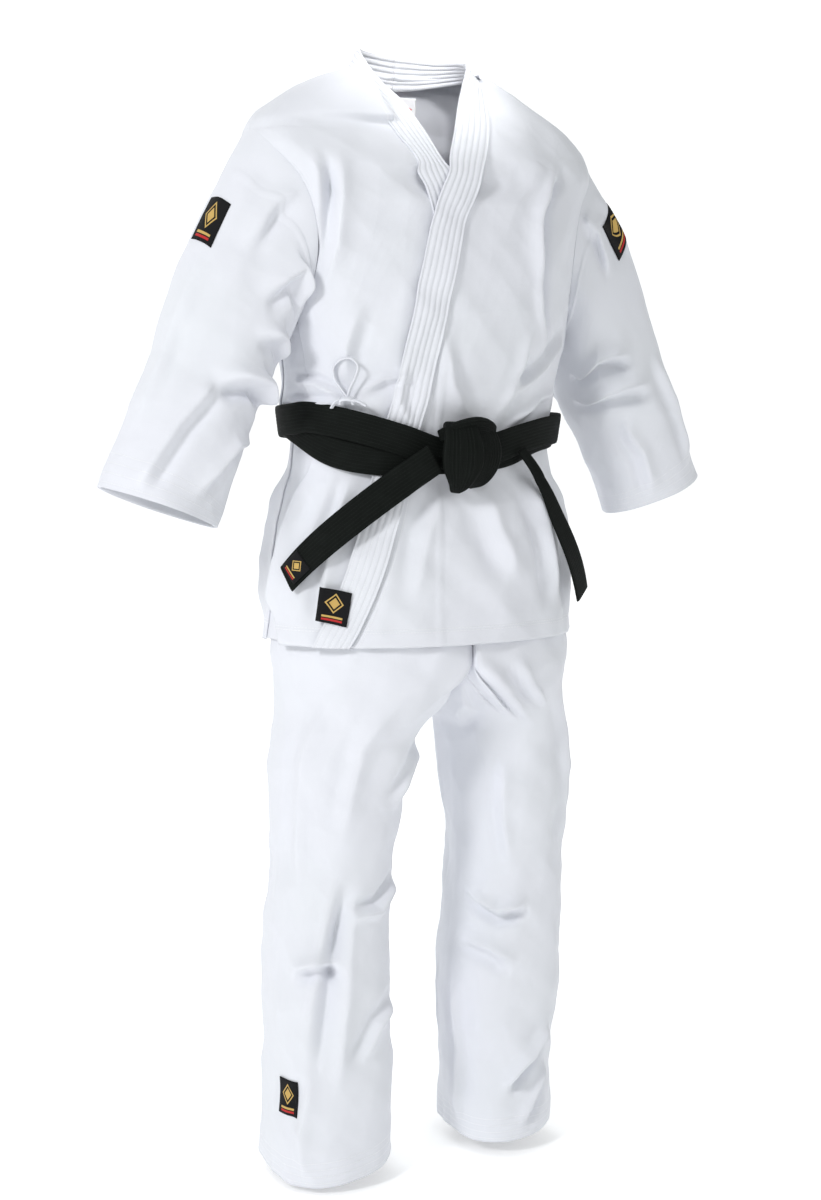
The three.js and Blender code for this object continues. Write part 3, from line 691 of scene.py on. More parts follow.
# the open side edge of the skirt, as (drop, degrees from the front)
SKIRT_SIDE = np.array([
    [0.440, 77.0], [0.482, 79.0], [0.530, 85.0], [0.584, 91.0], [0.611, 93.0], [0.661, 89.0], [0.710, 84.0],
])
ROWS = np.concatenate([np.linspace(NECK, 0.07, 36)[:-1], np.linspace(0.07, HEM, 200)])


def front_side_angle(drop):
    """Below the belt the side seam is open as a vent, and the front's edge swings out over the side panel."""
    vent = smooth_read(SKIRT_SIDE[:, 0], SKIRT_SIDE[:, 1], drop)
    return np.where(drop > SKIRT_SIDE[0, 0], vent, side_angle(drop, SKIRT_SIDE[0, 1]))


# pairs of (free edge, seam), from the chest up to the centre of the back of the neck
OVER_NECK = [
    [(-0.022, -0.113, -0.090), (0.034, -0.112, -0.084)],
    [(-0.002, -0.090, -0.055), (0.054, -0.086, -0.046)],
    [(0.022, -0.062, -0.012), (0.068, -0.056, -0.014)],
    [(0.043, -0.040, 0.018), (0.078, -0.030, 0.011)],
    [(0.065, -0.012, 0.041), (0.087, -0.004, 0.024)],
    [(0.073, 0.022, 0.052), (0.088, 0.028, 0.027)],
    [(0.054, 0.052, 0.055), (0.062, 0.062, 0.023)],
    [(0.026, 0.065, 0.058), (0.029, 0.075, 0.018)],
    [(0.0, 0.068, 0.059), (0.0, 0.078, 0.016)],
]
UNDER_NECK = [
    [(-0.027, -0.106, -0.095), (-0.066, -0.110, -0.100)],
    [(-0.046, -0.087, -0.054), (-0.086, -0.090, -0.062)],
    [(-0.066, -0.064, -0.016), (-0.103, -0.066, -0.027)],
    [(-0.081, -0.042, 0.007), (-0.112, -0.044, -0.007)],
    [(-0.087, -0.018, 0.031), (-0.114, -0.018, 0.007)],
    [(-0.086, 0.012, 0.056), (-0.108, 0.014, 0.018)],
    [(-0.062, 0.044, 0.060), (-0.076, 0.056, 0.021)],
    [(-0.030, 0.062, 0.060), (-0.036, 0.073, 0.018)],
    [(0.0, 0.068, 0.059), (0.0, 0.078, 0.016)],
]


def neck_seam(pairs, drop):
    """The lapel's seam line near the neck, read by height: its x and y at each drop."""
    rising = np.asarray([0.78 * np.asarray(pair[1]) + 0.22 * np.asarray(pair[0]) for pair in pairs[:5]])
    rising = rising * np.array([1.0, 0.985, 1.0]) - np.array([0, 0, 0.003])
    order = np.argsort(-rising[:, 2])
    x, y = (np.interp(drop, -rising[order, 2], rising[order, k]) for k in (0, 1))
    return np.stack([x, y, -drop], -1)


def front(name, edge, side, layer, columns, node):
    """A front panel: columns run from the lapel seam to the side seam or armhole. An inner layer comes out to
    the body's surface again where the other front no longer covers it."""
    u = np.linspace(0, 1, columns)[None, :]
    drop = ROWS[:, None]
    start = lapel_seam_angle(edge, side, drop) - side * (1.2 + 3.5 * eased((0.19 - drop) / 0.05))
    angle = start + (side * front_side_angle(drop) - start) * u
    covered = eased((angle - angle_at_x(edge_x(OVER_EDGE, drop), drop) + 30) / 24)
    covered = np.maximum(covered, 1 - eased(side * (angle - start) / 14))
    tuck = 0.0012 * (1 - eased(side * (angle - start) / 5))
    vent = eased((drop - 0.475) / 0.10) * eased((side * angle - 58) / 26)
    seam_place = np.interp(drop, [0.20, 0.26, 0.71], [-9.2, -9.8, -12.2])
    seam = 0.0011 * np.exp(-(((angle - seam_place) * DEGREE / 0.0035) ** 4)) * (drop > 0.235) * (side > 0)
    points = jacket_cloth(angle, drop, layer * covered + tuck - 0.0075 * vent - seam)
    # up at the neck the panel's edge leaves the tube and runs to the line where the lapel is sewn on
    pairs = OVER_NECK if side > 0 else UNDER_NECK
    sewn = neck_seam(pairs, np.maximum(drop[:, 0], -pairs[4][1][2]))
    top = 0.040 if side > 0 else -0.035
    pull = (sewn - points[:, 0]) * eased((0.150 - drop) / 0.035) * eased((drop + top) / 0.016)
    points = points + pull[:, None] * ((1 - u) ** 2)[..., None]
    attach(sheet_piece(name, points, BODY_MIDDLE, JACKET_PANEL, [node]), "garment")


front("over_front", OVER_EDGE, 1, 0.0, 170, "left_front_panel")
front("under_front", UNDER_EDGE, -1, UNDER_LAYER, 170, "right_front_panel")

# %% [markdown]
# ## Back and side panels
# The back is two halves with a raised felled seam down the middle, which takes the strain. The side panels fill
# the gap under the arms, and vents are left where the side seams stop above the hem.

# %% Back and sides
def back_half(side, word):
    """Half of the back, from the felled seam in the middle to the side seam or armhole."""
    u = np.linspace(0, 1, 130)[None, :]
    drop = ROWS[:, None]
    end = 180 - side_angle(drop, SIDE_SEAM)
    angle = 180 + (end - 180) * u
    seam = 0.0012 * np.exp(-(((180 - angle) * DEGREE / 0.005) ** 4))
    points = jacket_cloth(side * angle, drop, -seam)
    made = sheet_piece(f"back_half_{word}", points, BODY_MIDDLE, JACKET_PANEL, [f"{word}_back_panel"])
    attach(made, "garment")


def side_strip(side, word):
    """The panel under the arm. Below the belt it lies further in, because the vent's edges swing out over it."""
    drop = np.linspace(0.300, HEM - 0.002, 150)[:, None]
    angle = side * np.linspace(SIDE_SEAM - 7, 180 - SIDE_SEAM + 1.5, 46)[None, :]
    deeper = 0.0085 * eased((drop - 0.48) / 0.05) * eased((90 - side * angle) / 14)
    points = jacket_cloth(angle, drop, 0.0024 + deeper)
    made = sheet_piece(f"side_strip_{word}", points, (0, 0, -0.5), JACKET_LINING, [f"{word}_side_panel"])
    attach(made, "garment")


# %% [markdown]
# ## Lapels and collar
# One stiff band of several layers runs from each hem up the front and round the neck, where it stands up. It is
# quilted with parallel rows, so the cloth swells a little between them. The band is a surface between two
# lines, its free edge and its seam, and a smooth curve through a few pairs of points carries it off the chest
# and round the back of the neck.

# %% Lapel band
def through(points, count):
    """A smooth curve through the points, evenly spaced by length."""
    points = np.asarray(points, float)
    lengths = np.concatenate([[0], np.cumsum(np.linalg.norm(np.diff(points, axis=0), axis=1))])
    fine = np.linspace(0, lengths[-1], count)
    return np.stack([smooth_read(lengths, points[:, k], fine) for k in range(3)], -1)


def quilted(u, rows, width, depth):
    """Grooves at the stitch rows: 0 on a row, depth between them."""
    distance = np.min([np.abs(u * width - row) for row in rows], axis=0)
    return depth * (1 - np.exp(-((distance / 0.0016) ** 2)))


CHEST_MIDDLE = np.array([0, 0.01, -0.45])
BAND_ROWS, BAND_COLUMNS = 420, 58


def collar_band(name, edge, side, layer, proud, top_points, nodes):
    """The band from the hem up to the middle of the back of the neck. top_points are pairs (free edge, seam)."""
    drops = np.concatenate([np.linspace(HEM, 0.130, 36), [0.110]])
    free = jacket_surface(angle_at_x(edge_x(edge, drops), drops), drops, proud - layer)
    seam = jacket_surface(lapel_seam_angle(edge, side, drops), drops, proud - layer)
    free = np.concatenate([free, [p[0] for p in top_points]])
    seam = np.concatenate([seam, [p[1] for p in top_points]])
    free, seam = through(free, BAND_ROWS), through(seam, BAND_ROWS)
    u = np.linspace(0, 1, BAND_COLUMNS)[None, :, None]
    points = free[:, None] * (1 - u) + seam[:, None] * u
    # on the chest each point is laid on the folded cloth again, so that the band folds with the panel
    drop = np.clip(-points[..., 2], NECK, HEM)
    angle = angle_at_x(points[..., 0], drop)
    laid = jacket_cloth(angle, drop, layer - proud)
    share = eased((drop - 0.105) / 0.05)[..., None]
    points = points * (1 - share) + laid * share
    along = np.gradient(points, axis=0)
    across = np.gradient(points, axis=1)
    normal = np.cross(along, across)
    normal /= np.linalg.norm(normal, axis=2, keepdims=True)
    outwards = np.sign((normal * (points - CHEST_MIDDLE)).sum())
    swell = quilted(u[..., 0], LAPEL_ROWS, LAPEL_WIDTH, 0.0011) + 0.0008 * np.sin(math.pi * u[..., 0])
    points = points + outwards * normal * swell[..., None]
    u_metres = np.broadcast_to(u[..., 0] * LAPEL_WIDTH, points.shape[:2])
    v_metres = np.broadcast_to(arc_lengths(points, 0)[:, None], points.shape[:2])
    uv = np.stack([u_metres, v_metres], -1)
    made = sheet_piece(name, points, CHEST_MIDDLE, JACKET_BAND, nodes, uv=uv)
    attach(made, "garment")


collar_band("left_lapel_band", OVER_EDGE, 1, 0.0, 0.0030, OVER_NECK, ["left_lapel"])
collar_band("right_lapel_band", UNDER_EDGE, -1, UNDER_LAYER, 0.0008, UNDER_NECK, ["right_lapel", "collar_back"])
for side, word in ((1, "left"), (-1, "right")):
    back_half(side, word)
    side_strip(side, word)
print("jacket body made")

# %% [markdown]
# ## Sleeves
# A sleeve is one piece folded along the shoulder line, so its section is flatter than a circle and comes to a
# soft point at the top and underneath, most of all at the cuff. It breaks at the elbow in a few sharp folds.

# %% Sleeves
CUFF_REACH = 0.382
CUFF_DROP = 0.530
CUFF_HALF_WIDTH = 0.082
CUFF_HALF_DEPTH = 0.062
CUFF_TILT = math.radians(20)


def sleeve_tube(side, around, share, out=0.0):
    """around is in degrees: 90 on the shoulder line, -90 under the arm, 0 in front. share runs to the cuff."""
    around, share = np.broadcast_arrays(np.radians(around), share)
    point = 2 / (ROUNDNESS - 0.55 * share)
    sine, cosine = np.sin(around), np.cos(around)
    y = -(ARMHOLE_HALF_DEPTH + out) * cosine
    drop = ARMHOLE_MIDDLE - (ARMHOLE_HALF_HEIGHT + out) * sine
    half_width = smooth_read(SECTIONS[:, 0], SECTIONS[:, 1], drop)
    half_depth = smooth_read(SECTIONS[:, 0], SECTIONS[:, 2], drop)
    reach = half_width * (1 - np.minimum(np.abs(y) / half_depth, 1) ** ROUNDNESS) ** (1 / ROUNDNESS)
    top = np.stack([reach, y, -drop], -1)
    wide = (CUFF_HALF_WIDTH + out) * signed_power(sine, point)
    deep = -(CUFF_HALF_DEPTH + out) * signed_power(cosine, point)
    across, rise = wide * math.cos(CUFF_TILT), wide * math.sin(CUFF_TILT)
    cuff = np.stack([CUFF_REACH + across, deep, -CUFF_DROP + rise], -1)
    s = share[..., None]
    crown = 0.012 * np.sin(math.pi * np.clip(s * 1.6, 0, 1)) * np.clip(sine, 0, 1)[..., None]
    blended = top * (1 - s) + cuff * s + crown * np.array([0.9, 0, 0.45])
    return settled(blended * np.array([side, 1, 1]))


SLEEVE_BACK_FOLDS = [
    ([(-150, 0.15), (170, 0.28), (130, 0.40)], 0.0060, 0.014, 0.6, 0.3),
    ([(-130, 0.42), (180, 0.52), (140, 0.66)], 0.0080, 0.013, 0.8, 0.3),
]
SLEEVE_FOLDS = {
    # (around, share) lines, height and width
    "right": [
        ([(-70, 0.40), (-20, 0.47), (25, 0.62)], 0.0100, 0.013, 0.9, 0.25),
        ([(20, 0.60), (32, 0.78), (40, 0.99)], 0.0060, 0.014, 0.5, 0.2),
        ([(-60, 0.58), (-28, 0.70), (-10, 0.95)], 0.0050, 0.014, 0.6, 0.3),
        ([(-40, 0.06), (0, 0.15), (18, 0.34)], 0.0065, 0.013, 0.7, 0.3),
        ([(20, -0.02), (35, 0.10), (40, 0.28)], 0.0050, 0.012, 0.6, 0.35),
        ([(-60, 0.22), (-20, 0.30), (10, 0.42)], 0.0055, 0.011, 0.7, 0.3),
        ([(60, 0.30), (72, 0.55), (70, 0.85)], 0.0035, 0.018, 0.4, 0.35),
        *SLEEVE_BACK_FOLDS,
    ],
    "left": [
        ([(-80, 0.22), (-30, 0.33), (15, 0.50)], 0.0090, 0.012, 0.9, 0.25),
        ([(-85, 0.34), (-35, 0.46), (25, 0.64)], 0.0075, 0.012, 0.8, 0.25),
        ([(20, -0.02), (30, 0.12), (22, 0.26)], 0.0060, 0.012, 0.7, 0.3),
        ([(50, 0.02), (58, 0.15), (56, 0.32)], 0.0045, 0.013, 0.5, 0.3),
        ([(-30, 0.60), (-20, 0.78), (-25, 0.97)], 0.0050, 0.015, 0.6, 0.25),
        ([(40, 0.55), (42, 0.75), (38, 0.95)], 0.0045, 0.016, 0.5, 0.25),
        *SLEEVE_BACK_FOLDS,
    ],
}
SLEEVE_DEGREE = 0.0017
SLEEVE_LENGTH = 0.39


def sleeve_height(around, share, word, smooth):
    """The folds of one sleeve, above its smooth tube. Lines that cross the back are measured from there."""
    total = rumple(smooth, 0.0036, 1.7 if word == "right" else 4.1)
    for line, *rest in SLEEVE_FOLDS[word]:
        line = [(a % 360 if abs(line[1][0]) > 120 else a, s) for a, s in line]
        turn = around % 360 if abs(line[1][0]) > 120 else (around + 180) % 360 - 180
        metres = [(a * SLEEVE_DEGREE, s * SLEEVE_LENGTH) for a, s in line]
        total = total + add_folds(turn * SLEEVE_DEGREE, share * SLEEVE_LENGTH, [(metres, *rest)])
    return total * eased(share / 0.08)


def sleeve_cloth(side, word, around, share, out=0.0):
    """The folded sleeve, moved out from its smooth tube by its own height and by out."""
    around, share = np.broadcast_arrays(around, share)
    height = sleeve_height(around, share, word, sleeve_tube(side, around, share))
    return sleeve_tube(side, around, share, height + out)


def sleeve_joint(side):
    """The points where the sleeve starts to turn, at the armhole, and turns fully, a hand's width outside it."""
    return {"start": (side * 0.232, 0, -0.180), "end": (side * 0.335, 0, -0.199)}


ROUND_SLEEVE = np.linspace(-90, 270, 181)[None, :-1]


def sleeve(side, word):
    """The sleeve starts tucked under the armhole's edge, where its seam stands up as a low ridge."""
    around = ROUND_SLEEVE
    share = np.linspace(-0.03, 1, 200)[:, None]
    tucked = -0.0030 * (1 - eased((share + 0.014) / 0.014))
    seam_place = 0.075 + 0.045 * np.sin(np.radians(around))
    seam = 0.0010 * np.exp(-(((share - seam_place) * SLEEVE_LENGTH / 0.0040) ** 4))
    points = sleeve_cloth(side, word, around, share, tucked + seam)
    made = sheet_piece(f"sleeve_{word}", points, (side * 0.30, 0, -0.33), JACKET_SLEEVE, [f"{word}_sleeve"],
                       closed=True)
    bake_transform(made)


def cuff(side, word):
    """The turned-in facing: a second layer inside the cuff, that closes onto the sleeve's edge."""
    share = np.linspace(0.885, 0.999, 16)[:, None]
    points = sleeve_cloth(side, word, ROUND_SLEEVE, share, -0.0024)
    made = sheet_piece(f"cuff_{word}", points, (side * CUFF_REACH, 0, -0.50), JACKET_LINING,
                       [f"{word}_cuff_facing"], closed=True)
    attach(made, f"{word}_sleeve_cloth")


for side, word in ((1, "left"), (-1, "right")):
    sleeve(side, word)
    cuff(side, word)
print("sleeves made")

# %% [markdown]
# ## Trousers
# Each half of the trousers is one surface from the waistband to the hem: half of the seat above the crotch, and
# a whole tube below it. The two shapes are blended over a short height, so the seat flows into the leg.

# %% Trousers
# the seat as (drop, half width, half depth)
SEAT = np.array([
    [0.415, 0.1665, 0.1045], [0.510, 0.1680, 0.1060], [0.620, 0.1930, 0.1290], [0.710, 0.2050, 0.1400],
    [0.830, 0.2060, 0.1360],
])
LEG_HEM = 1.400
LEG_FOLDS = {
    "right": [
        ([(-70, 1.135), (-35, 1.118), (-8, 1.128)], 0.0065, 0.012, 0.9, 0.3),
        ([(-10, 1.010), (-24, 1.110), (-42, 1.290)], -0.0060, 0.016, 0.5, 0.3),
        ([(0, 1.000), (-8, 1.120), (-18, 1.300)], 0.0050, 0.016, 0.5, 0.3),
        ([(60, 1.020), (20, 1.060), (-12, 1.065)], 0.0060, 0.011, 0.8, 0.3),
        ([(50, 1.180), (20, 1.210), (0, 1.260)], 0.0050, 0.013, 0.6, 0.3),
        ([(70, 0.820), (40, 0.800), (10, 0.770)], 0.0055, 0.012, 0.7, 0.3),
        ([(70, 0.850), (45, 0.870), (20, 0.930)], 0.0050, 0.014, 0.6, 0.35),
        ([(-60, 0.760), (-66, 0.900), (-62, 1.060)], 0.0045, 0.018, 0.4, 0.3),
        ([(-20, 0.740), (-14, 0.860), (-22, 0.980)], 0.0040, 0.018, 0.4, 0.35),
        ([(-40, 1.250), (-52, 1.330), (-50, 1.398)], 0.0045, 0.016, 0.5, 0.25),
    ],
    "left": [
        ([(-80, 1.060), (-40, 1.085), (-5, 1.075)], 0.0080, 0.012, 0.9, 0.3),
        ([(-85, 1.125), (-45, 1.135), (-15, 1.160)], 0.0055, 0.013, 0.8, 0.3),
        ([(-25, 1.330), (0, 1.290), (30, 1.250)], 0.0085, 0.012, 0.9, 0.25),
        ([(-10, 1.385), (12, 1.340), (34, 1.300)], 0.0050, 0.011, 0.7, 0.3),
        ([(-78, 1.180), (-76, 1.290), (-80, 1.390)], 0.0060, 0.010, 0.3, 0.2),
        ([(-12, 0.725), (-8, 0.770), (-12, 0.820)], 0.0060, 0.007, 0.9, 0.35),
        ([(2, 0.722), (4, 0.775), (0, 0.830)], 0.0055, 0.007, 0.9, 0.35),
        ([(16, 0.725), (18, 0.770), (20, 0.810)], 0.0045, 0.007, 0.8, 0.35),
        ([(-80, 0.830), (-45, 0.800), (-20, 0.750)], 0.0055, 0.011, 0.7, 0.3),
        ([(40, 0.760), (44, 0.900), (38, 1.050)], 0.0045, 0.018, 0.4, 0.3),
        ([(-30, 0.860), (-34, 0.960), (-26, 1.040)], 0.0040, 0.016, 0.5, 0.35),
    ],
}
LEG_DEGREE = 0.0016


# Each leg as (drop, middle from the body's middle, half width, half depth). The wearer stands with the left leg
# a little straighter, and its hem is narrower.
LEG_SHAPE = {
    -1: np.array([
        [0.700, 0.103, 0.093, 0.130], [0.802, 0.112, 0.090, 0.108], [0.870, 0.122, 0.086, 0.098],
        [0.966, 0.134, 0.077, 0.089], [1.098, 0.144, 0.077, 0.090], [1.229, 0.146, 0.081, 0.095],
        [1.400, 0.144, 0.082, 0.096],
    ]),
    1: np.array([
        [0.700, 0.103, 0.093, 0.130], [0.820, 0.121, 0.084, 0.098], [0.891, 0.130, 0.079, 0.089],
        [0.992, 0.134, 0.075, 0.087], [1.108, 0.132, 0.079, 0.090], [1.177, 0.127, 0.081, 0.092],
        [1.268, 0.119, 0.073, 0.088], [1.400, 0.120, 0.069, 0.084],
    ]),
}
HEM_TILT = {-1: 0.020, 1: 0.010}


def leg_tube(side, angle, drop, out=0.0):
    """The leg below the crotch: angle in degrees from the front, towards the wearer's left. The hem hangs lower
    towards the front and the wearer's right."""
    shape = LEG_SHAPE[side]
    reach, half_width, half_depth = (smooth_read(shape[:, 0], shape[:, k], drop) for k in (1, 2, 3))
    a = np.radians(angle)
    x = side * reach + (half_width + out) * signed_power(np.sin(a), 2 / ROUNDNESS)
    y = -(half_depth + out) * signed_power(np.cos(a), 2 / ROUNDNESS)
    tilted = drop + HEM_TILT[side] * np.cos(a + 1.0) * eased((drop - 1.15) / 0.25)
    return np.stack(np.broadcast_arrays(x, y, -tilted), -1)


def seat_half(side, angle, drop, out=0.0):
    """Half of the seat, closed along the middle of the body, on the same angles as the leg."""
    half_width = smooth_read(SEAT[:, 0], SEAT[:, 1], drop) + out
    half_depth = smooth_read(SEAT[:, 0], SEAT[:, 2], drop) + out
    turn = (side * angle + 90) % 360 - 90  # 0 front, 90 outside, 180 back, 270 or -90 inside
    outside = np.clip(turn, 0, 180)
    x = half_width * np.sin(np.radians(outside)) ** (2 / ROUNDNESS)
    y = -half_depth * signed_power(np.cos(np.radians(outside)), 2 / ROUNDNESS)
    inner = np.where(turn < 0, (-turn) / 90, np.where(turn > 180, (turn - 180) / 90, 0))
    y = np.where(turn < 0, -half_depth * (1 - inner), np.where(turn > 180, half_depth * (1 - inner), y))
    x = np.maximum(x, 0.0012)
    return np.stack(np.broadcast_arrays(side * x, y, -drop), -1)


def trouser_half(side, angle, drop, out=0.0):
    """Seat above, leg below. The inner side parts lower down than the rest, where the crotch is."""
    angle, drop = np.broadcast_arrays(angle, drop)
    inside = eased(-side * np.sin(np.radians(angle)))
    share = np.clip((drop - 0.730 - 0.042 * inside) / (0.120 - 0.052 * inside), 0, 1)
    share = eased(share)[..., None]
    return seat_half(side, angle, drop, out) * (1 - share) + leg_tube(side, angle, drop, out) * share


def trouser_cloth(side, word, angle, drop, out=0.0):
    """The folded trousers, moved out from their smooth shape by out."""
    angle, drop = np.broadcast_arrays(angle, drop)
    turn = (angle + 180) % 360 - 180
    smooth = trouser_half(side, angle, drop)
    lines = [([(a * LEG_DEGREE, d) for a, d in line], *rest) for line, *rest in LEG_FOLDS[word]]
    height = add_folds(turn * LEG_DEGREE, drop, lines) + rumple(smooth, 0.0042, 2.3 if side > 0 else 5.9)
    back = np.abs(turn) > 110
    wave = 0.004 * np.sin(drop * 21 + side) * np.sin(np.radians(turn) * 3)
    height = height + np.where(back, wave, 0) * np.clip((drop - 0.72) / 0.1, 0, 1)
    calm = np.clip((drop - 0.60) / 0.12, 0, 1)
    # the inseam and outseam stand up as felled seams
    seam = 0.0010 * (np.exp(-((np.abs(np.abs(turn) - 90) * LEG_DEGREE / 0.0045) ** 4)))
    return trouser_half(side, angle, drop, height * calm + seam + out)


ROUND_LEG = np.linspace(-180, 180, 201)[None, :-1]


def trousers(side, word):
    """One half of the trousers: the seat and the leg in one closed surface, parting at the crotch."""
    drop = np.linspace(0.456, LEG_HEM, 330)[:, None]
    points = trouser_cloth(side, word, ROUND_LEG, drop)
    nodes = [f"{word}_seat_half", f"{word}_leg_front", f"{word}_leg_back"]
    made = sheet_piece(f"trouser_leg_{word}", points, (side * 0.11, 0, -1.0), TROUSER_PANEL, nodes,
                       closed=True)
    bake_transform(made)


def leg_hem(side, word):
    """The turned-up facing inside the hem."""
    drop = np.linspace(LEG_HEM - 0.038, LEG_HEM - 0.0005, 14)[:, None]
    points = trouser_cloth(side, word, ROUND_LEG, drop, -0.0022)
    made = sheet_piece(f"leg_hem_{word}", points, (side * 0.124, 0, -1.38), TROUSER_LINING,
                       [f"{word}_leg_hem_facing"], closed=True)
    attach(made, f"{word}_leg_cloth")


for side, word in ((1, "left"), (-1, "right")):
    trousers(side, word)
    leg_hem(side, word)
print("trousers made")

# %% Waist tunnel and gusset
def waist_tunnel():
    """The drawstring's tunnel: a doubled band that the string gathers into small pleats."""
    angle = np.linspace(-180, 180, 241)[None, :-1]
    drop = np.linspace(0.415, 0.458, 22)[:, None]
    half_width = 0.1665 + 0.0012 * np.sin(np.radians(angle) * 46)
    x = half_width * signed_power(np.sin(np.radians(angle)), 2 / ROUNDNESS)
    y = -(half_width - 0.062) * signed_power(np.cos(np.radians(angle)), 2 / ROUNDNESS)
    points = np.stack(np.broadcast_arrays(x, y, -drop), -1)
    made = sheet_piece("waist_tunnel", points, (0, 0, -0.44), TROUSER_TUNNEL, ["waistband"],
                       closed=True)
    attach(made, "garment")


def gusset():
    """A narrow sling of cloth under the crotch: it hangs in a curve from the front seam to the back seam."""
    share = np.linspace(-0.9, 0.9, 60)[:, None]
    across = np.linspace(-0.012, 0.012, 10)[None, :]
    depth = 0.088 * share
    drop = 0.752 + 0.040 * (1 - share**2)
    points = np.stack(np.broadcast_arrays(across, depth, -drop), -1)
    made = sheet_piece("gusset", points, (0, 0, -0.6), TROUSER_GUSSET, ["crotch_gusset"])
    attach(made, "garment")


waist_tunnel()
gusset()

# %% [markdown]
# ## Belt
# The belt goes twice round the waist and is tied in front. Its section is a flat bar with round edges, ribbed
# by its stitch rows. The same section is carried along a path for the wraps, the parts of the knot and the
# tails: at each point of the path, one direction is the belt's width and the other its thickness.

# %% Belt section carried along a path
BELT_THICKNESS = 0.0042


def belt_outline(width, thickness, count=15):
    """Round the section: across the outer face, round the edge and back, as (place across, place through)."""
    w = np.linspace(-0.5, 0.5, count * 3)
    edge = np.sqrt(np.clip(1 - (np.abs(w) / 0.5) ** 8, 0, 1))
    rib = 1 - 0.16 * np.exp(-((((w + 0.5) * 9) % 1 - 0.5) / 0.13) ** 2)
    outer = np.stack([w * width, 0.5 * thickness * edge * rib], -1)
    inner = np.stack([w[::-1][1:-1] * width, -0.5 * thickness * (edge * rib)[::-1][1:-1]], -1)
    return np.concatenate([outer, inner])


def belt_run(name, path, widthwise, width=BELT_WIDTH, thickness=BELT_THICKNESS, closed=False, narrowing=None):
    """Carries the section along path. widthwise is the belt's width direction at each point. An open run's ends
    are closed by drawing the last ring in to a line. narrowing lists shares of the width along the run."""
    path, widthwise = np.asarray(path, float), np.asarray(widthwise, float)
    ahead = np.gradient(path, axis=0)
    if closed:
        ahead = np.roll(path, -1, axis=0) - np.roll(path, 1, axis=0)
    ahead /= np.linalg.norm(ahead, axis=1, keepdims=True)
    widthwise = widthwise - (widthwise * ahead).sum(axis=1, keepdims=True) * ahead
    widthwise /= np.linalg.norm(widthwise, axis=1, keepdims=True)
    outward = np.cross(ahead, widthwise)
    outline = belt_outline(width, thickness)
    if narrowing is not None:
        places = np.linspace(0, 1, len(narrowing)), np.linspace(0, 1, len(path))
        widthwise = widthwise * smooth_read(places[0], narrowing, places[1])[:, None]
    points = path[:, None] + widthwise[:, None] * outline[None, :, :1] + outward[:, None] * outline[None, :, 1:]
    length = np.concatenate([[0], np.cumsum(np.linalg.norm(np.diff(path, axis=0), axis=1))])
    if closed:
        points = np.concatenate([points, points[:1]])
        length = np.append(length, length[-1] + np.linalg.norm(path[0] - path[-1]))
    else:
        ends = [path[[k]][:, None] + widthwise[[k]][:, None] * outline[None, :, :1] for k in (0, -1)]
        points = np.concatenate([ends[0], points, ends[1]])
        length = np.concatenate([length[:1], length, length[-1:]])
    u = np.append(outline[:, 0], outline[0, 0]) + width / 2
    uv = np.stack(np.meshgrid(u, length), -1)
    mesh = grid_mesh(name, points, True, uv=uv)
    made = piece(name, mesh, satin, "belt_satin")
    tidy_mesh(made)
    return made


def tidy_mesh(made):
    """Joins the doubled points at ends and seams, and turns the faces out."""
    work = bmesh.new()
    work.from_mesh(made.data)
    bmesh.ops.remove_doubles(work, verts=work.verts, dist=1e-6)
    bmesh.ops.dissolve_degenerate(work, dist=1e-7, edges=work.edges)
    bmesh.ops.recalc_face_normals(work, faces=work.faces)
    work.to_mesh(made.data)
    work.free()


# %% Belt wraps
# The middle of each turn as (degrees from the front, drop). They cross behind the wearer's right side and lie
# on each other at the knot and on the left.
UPPER_TURN = np.array([
    [-180, 0.436], [-120, 0.427], [-88, 0.4215], [-75, 0.4185], [-61, 0.423], [-48, 0.4305], [-28, 0.447],
    [-9.5, 0.4655], [0, 0.467], [10, 0.458], [20, 0.449], [33.5, 0.441], [60, 0.436], [120, 0.434],
    [180, 0.436],
])
LOWER_TURN = np.array([
    [-180, 0.440], [-120, 0.428], [-96, 0.4285], [-81, 0.4435], [-69, 0.455], [-58, 0.4635], [-38, 0.472],
    [-13, 0.4715], [0, 0.470], [15, 0.4635], [24, 0.456], [33, 0.449], [60, 0.441], [120, 0.438], [180, 0.440],
])


def belt_turn(name, middle, out, node):
    """One closed turn round the body: its middle line is read from the list, and its width lies on the cloth."""
    angle = np.linspace(-180, 180, 281)[:-1]
    drop = smooth_read(middle[:, 0], middle[:, 1], angle)
    lifted = out + 0.0005 * np.sin(np.radians(angle) * 7 + out * 900)
    path = jacket_surface(angle, drop, lifted)
    upper = jacket_surface(angle, drop - 0.015, lifted)
    made = belt_run(name, path, upper - path, closed=True)
    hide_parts(node)
    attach(made, "garment")


belt_turn("belt_lower_turn", LOWER_TURN, 0.0070, "belt_first_wrap")
belt_turn("belt_upper_turn", UPPER_TURN, 0.0135, "belt_second_wrap")

# %% [markdown]
# The knot is the belt folded over itself: a pad goes down over the front, a lobe beside it comes in from the
# wearer's left, and a roll bulges over the top. Each is the same section on its own short path.

# %% Knot and tails
KNOT = np.array([-0.013, -0.1400, -0.468])
KNOT_RINGS = 70
TAIL_RINGS = 110


def knot_part(name, points, across, width, thickness, narrowing):
    """A part of the knot: points are offsets from its middle in metres, and across is the width's direction."""
    path = through(KNOT + np.asarray(points), KNOT_RINGS)
    widthwise = np.broadcast_to(np.asarray(across, float), path.shape)
    made = belt_run(name, path, widthwise, width, thickness, narrowing=narrowing)
    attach(made, "garment")
    return made


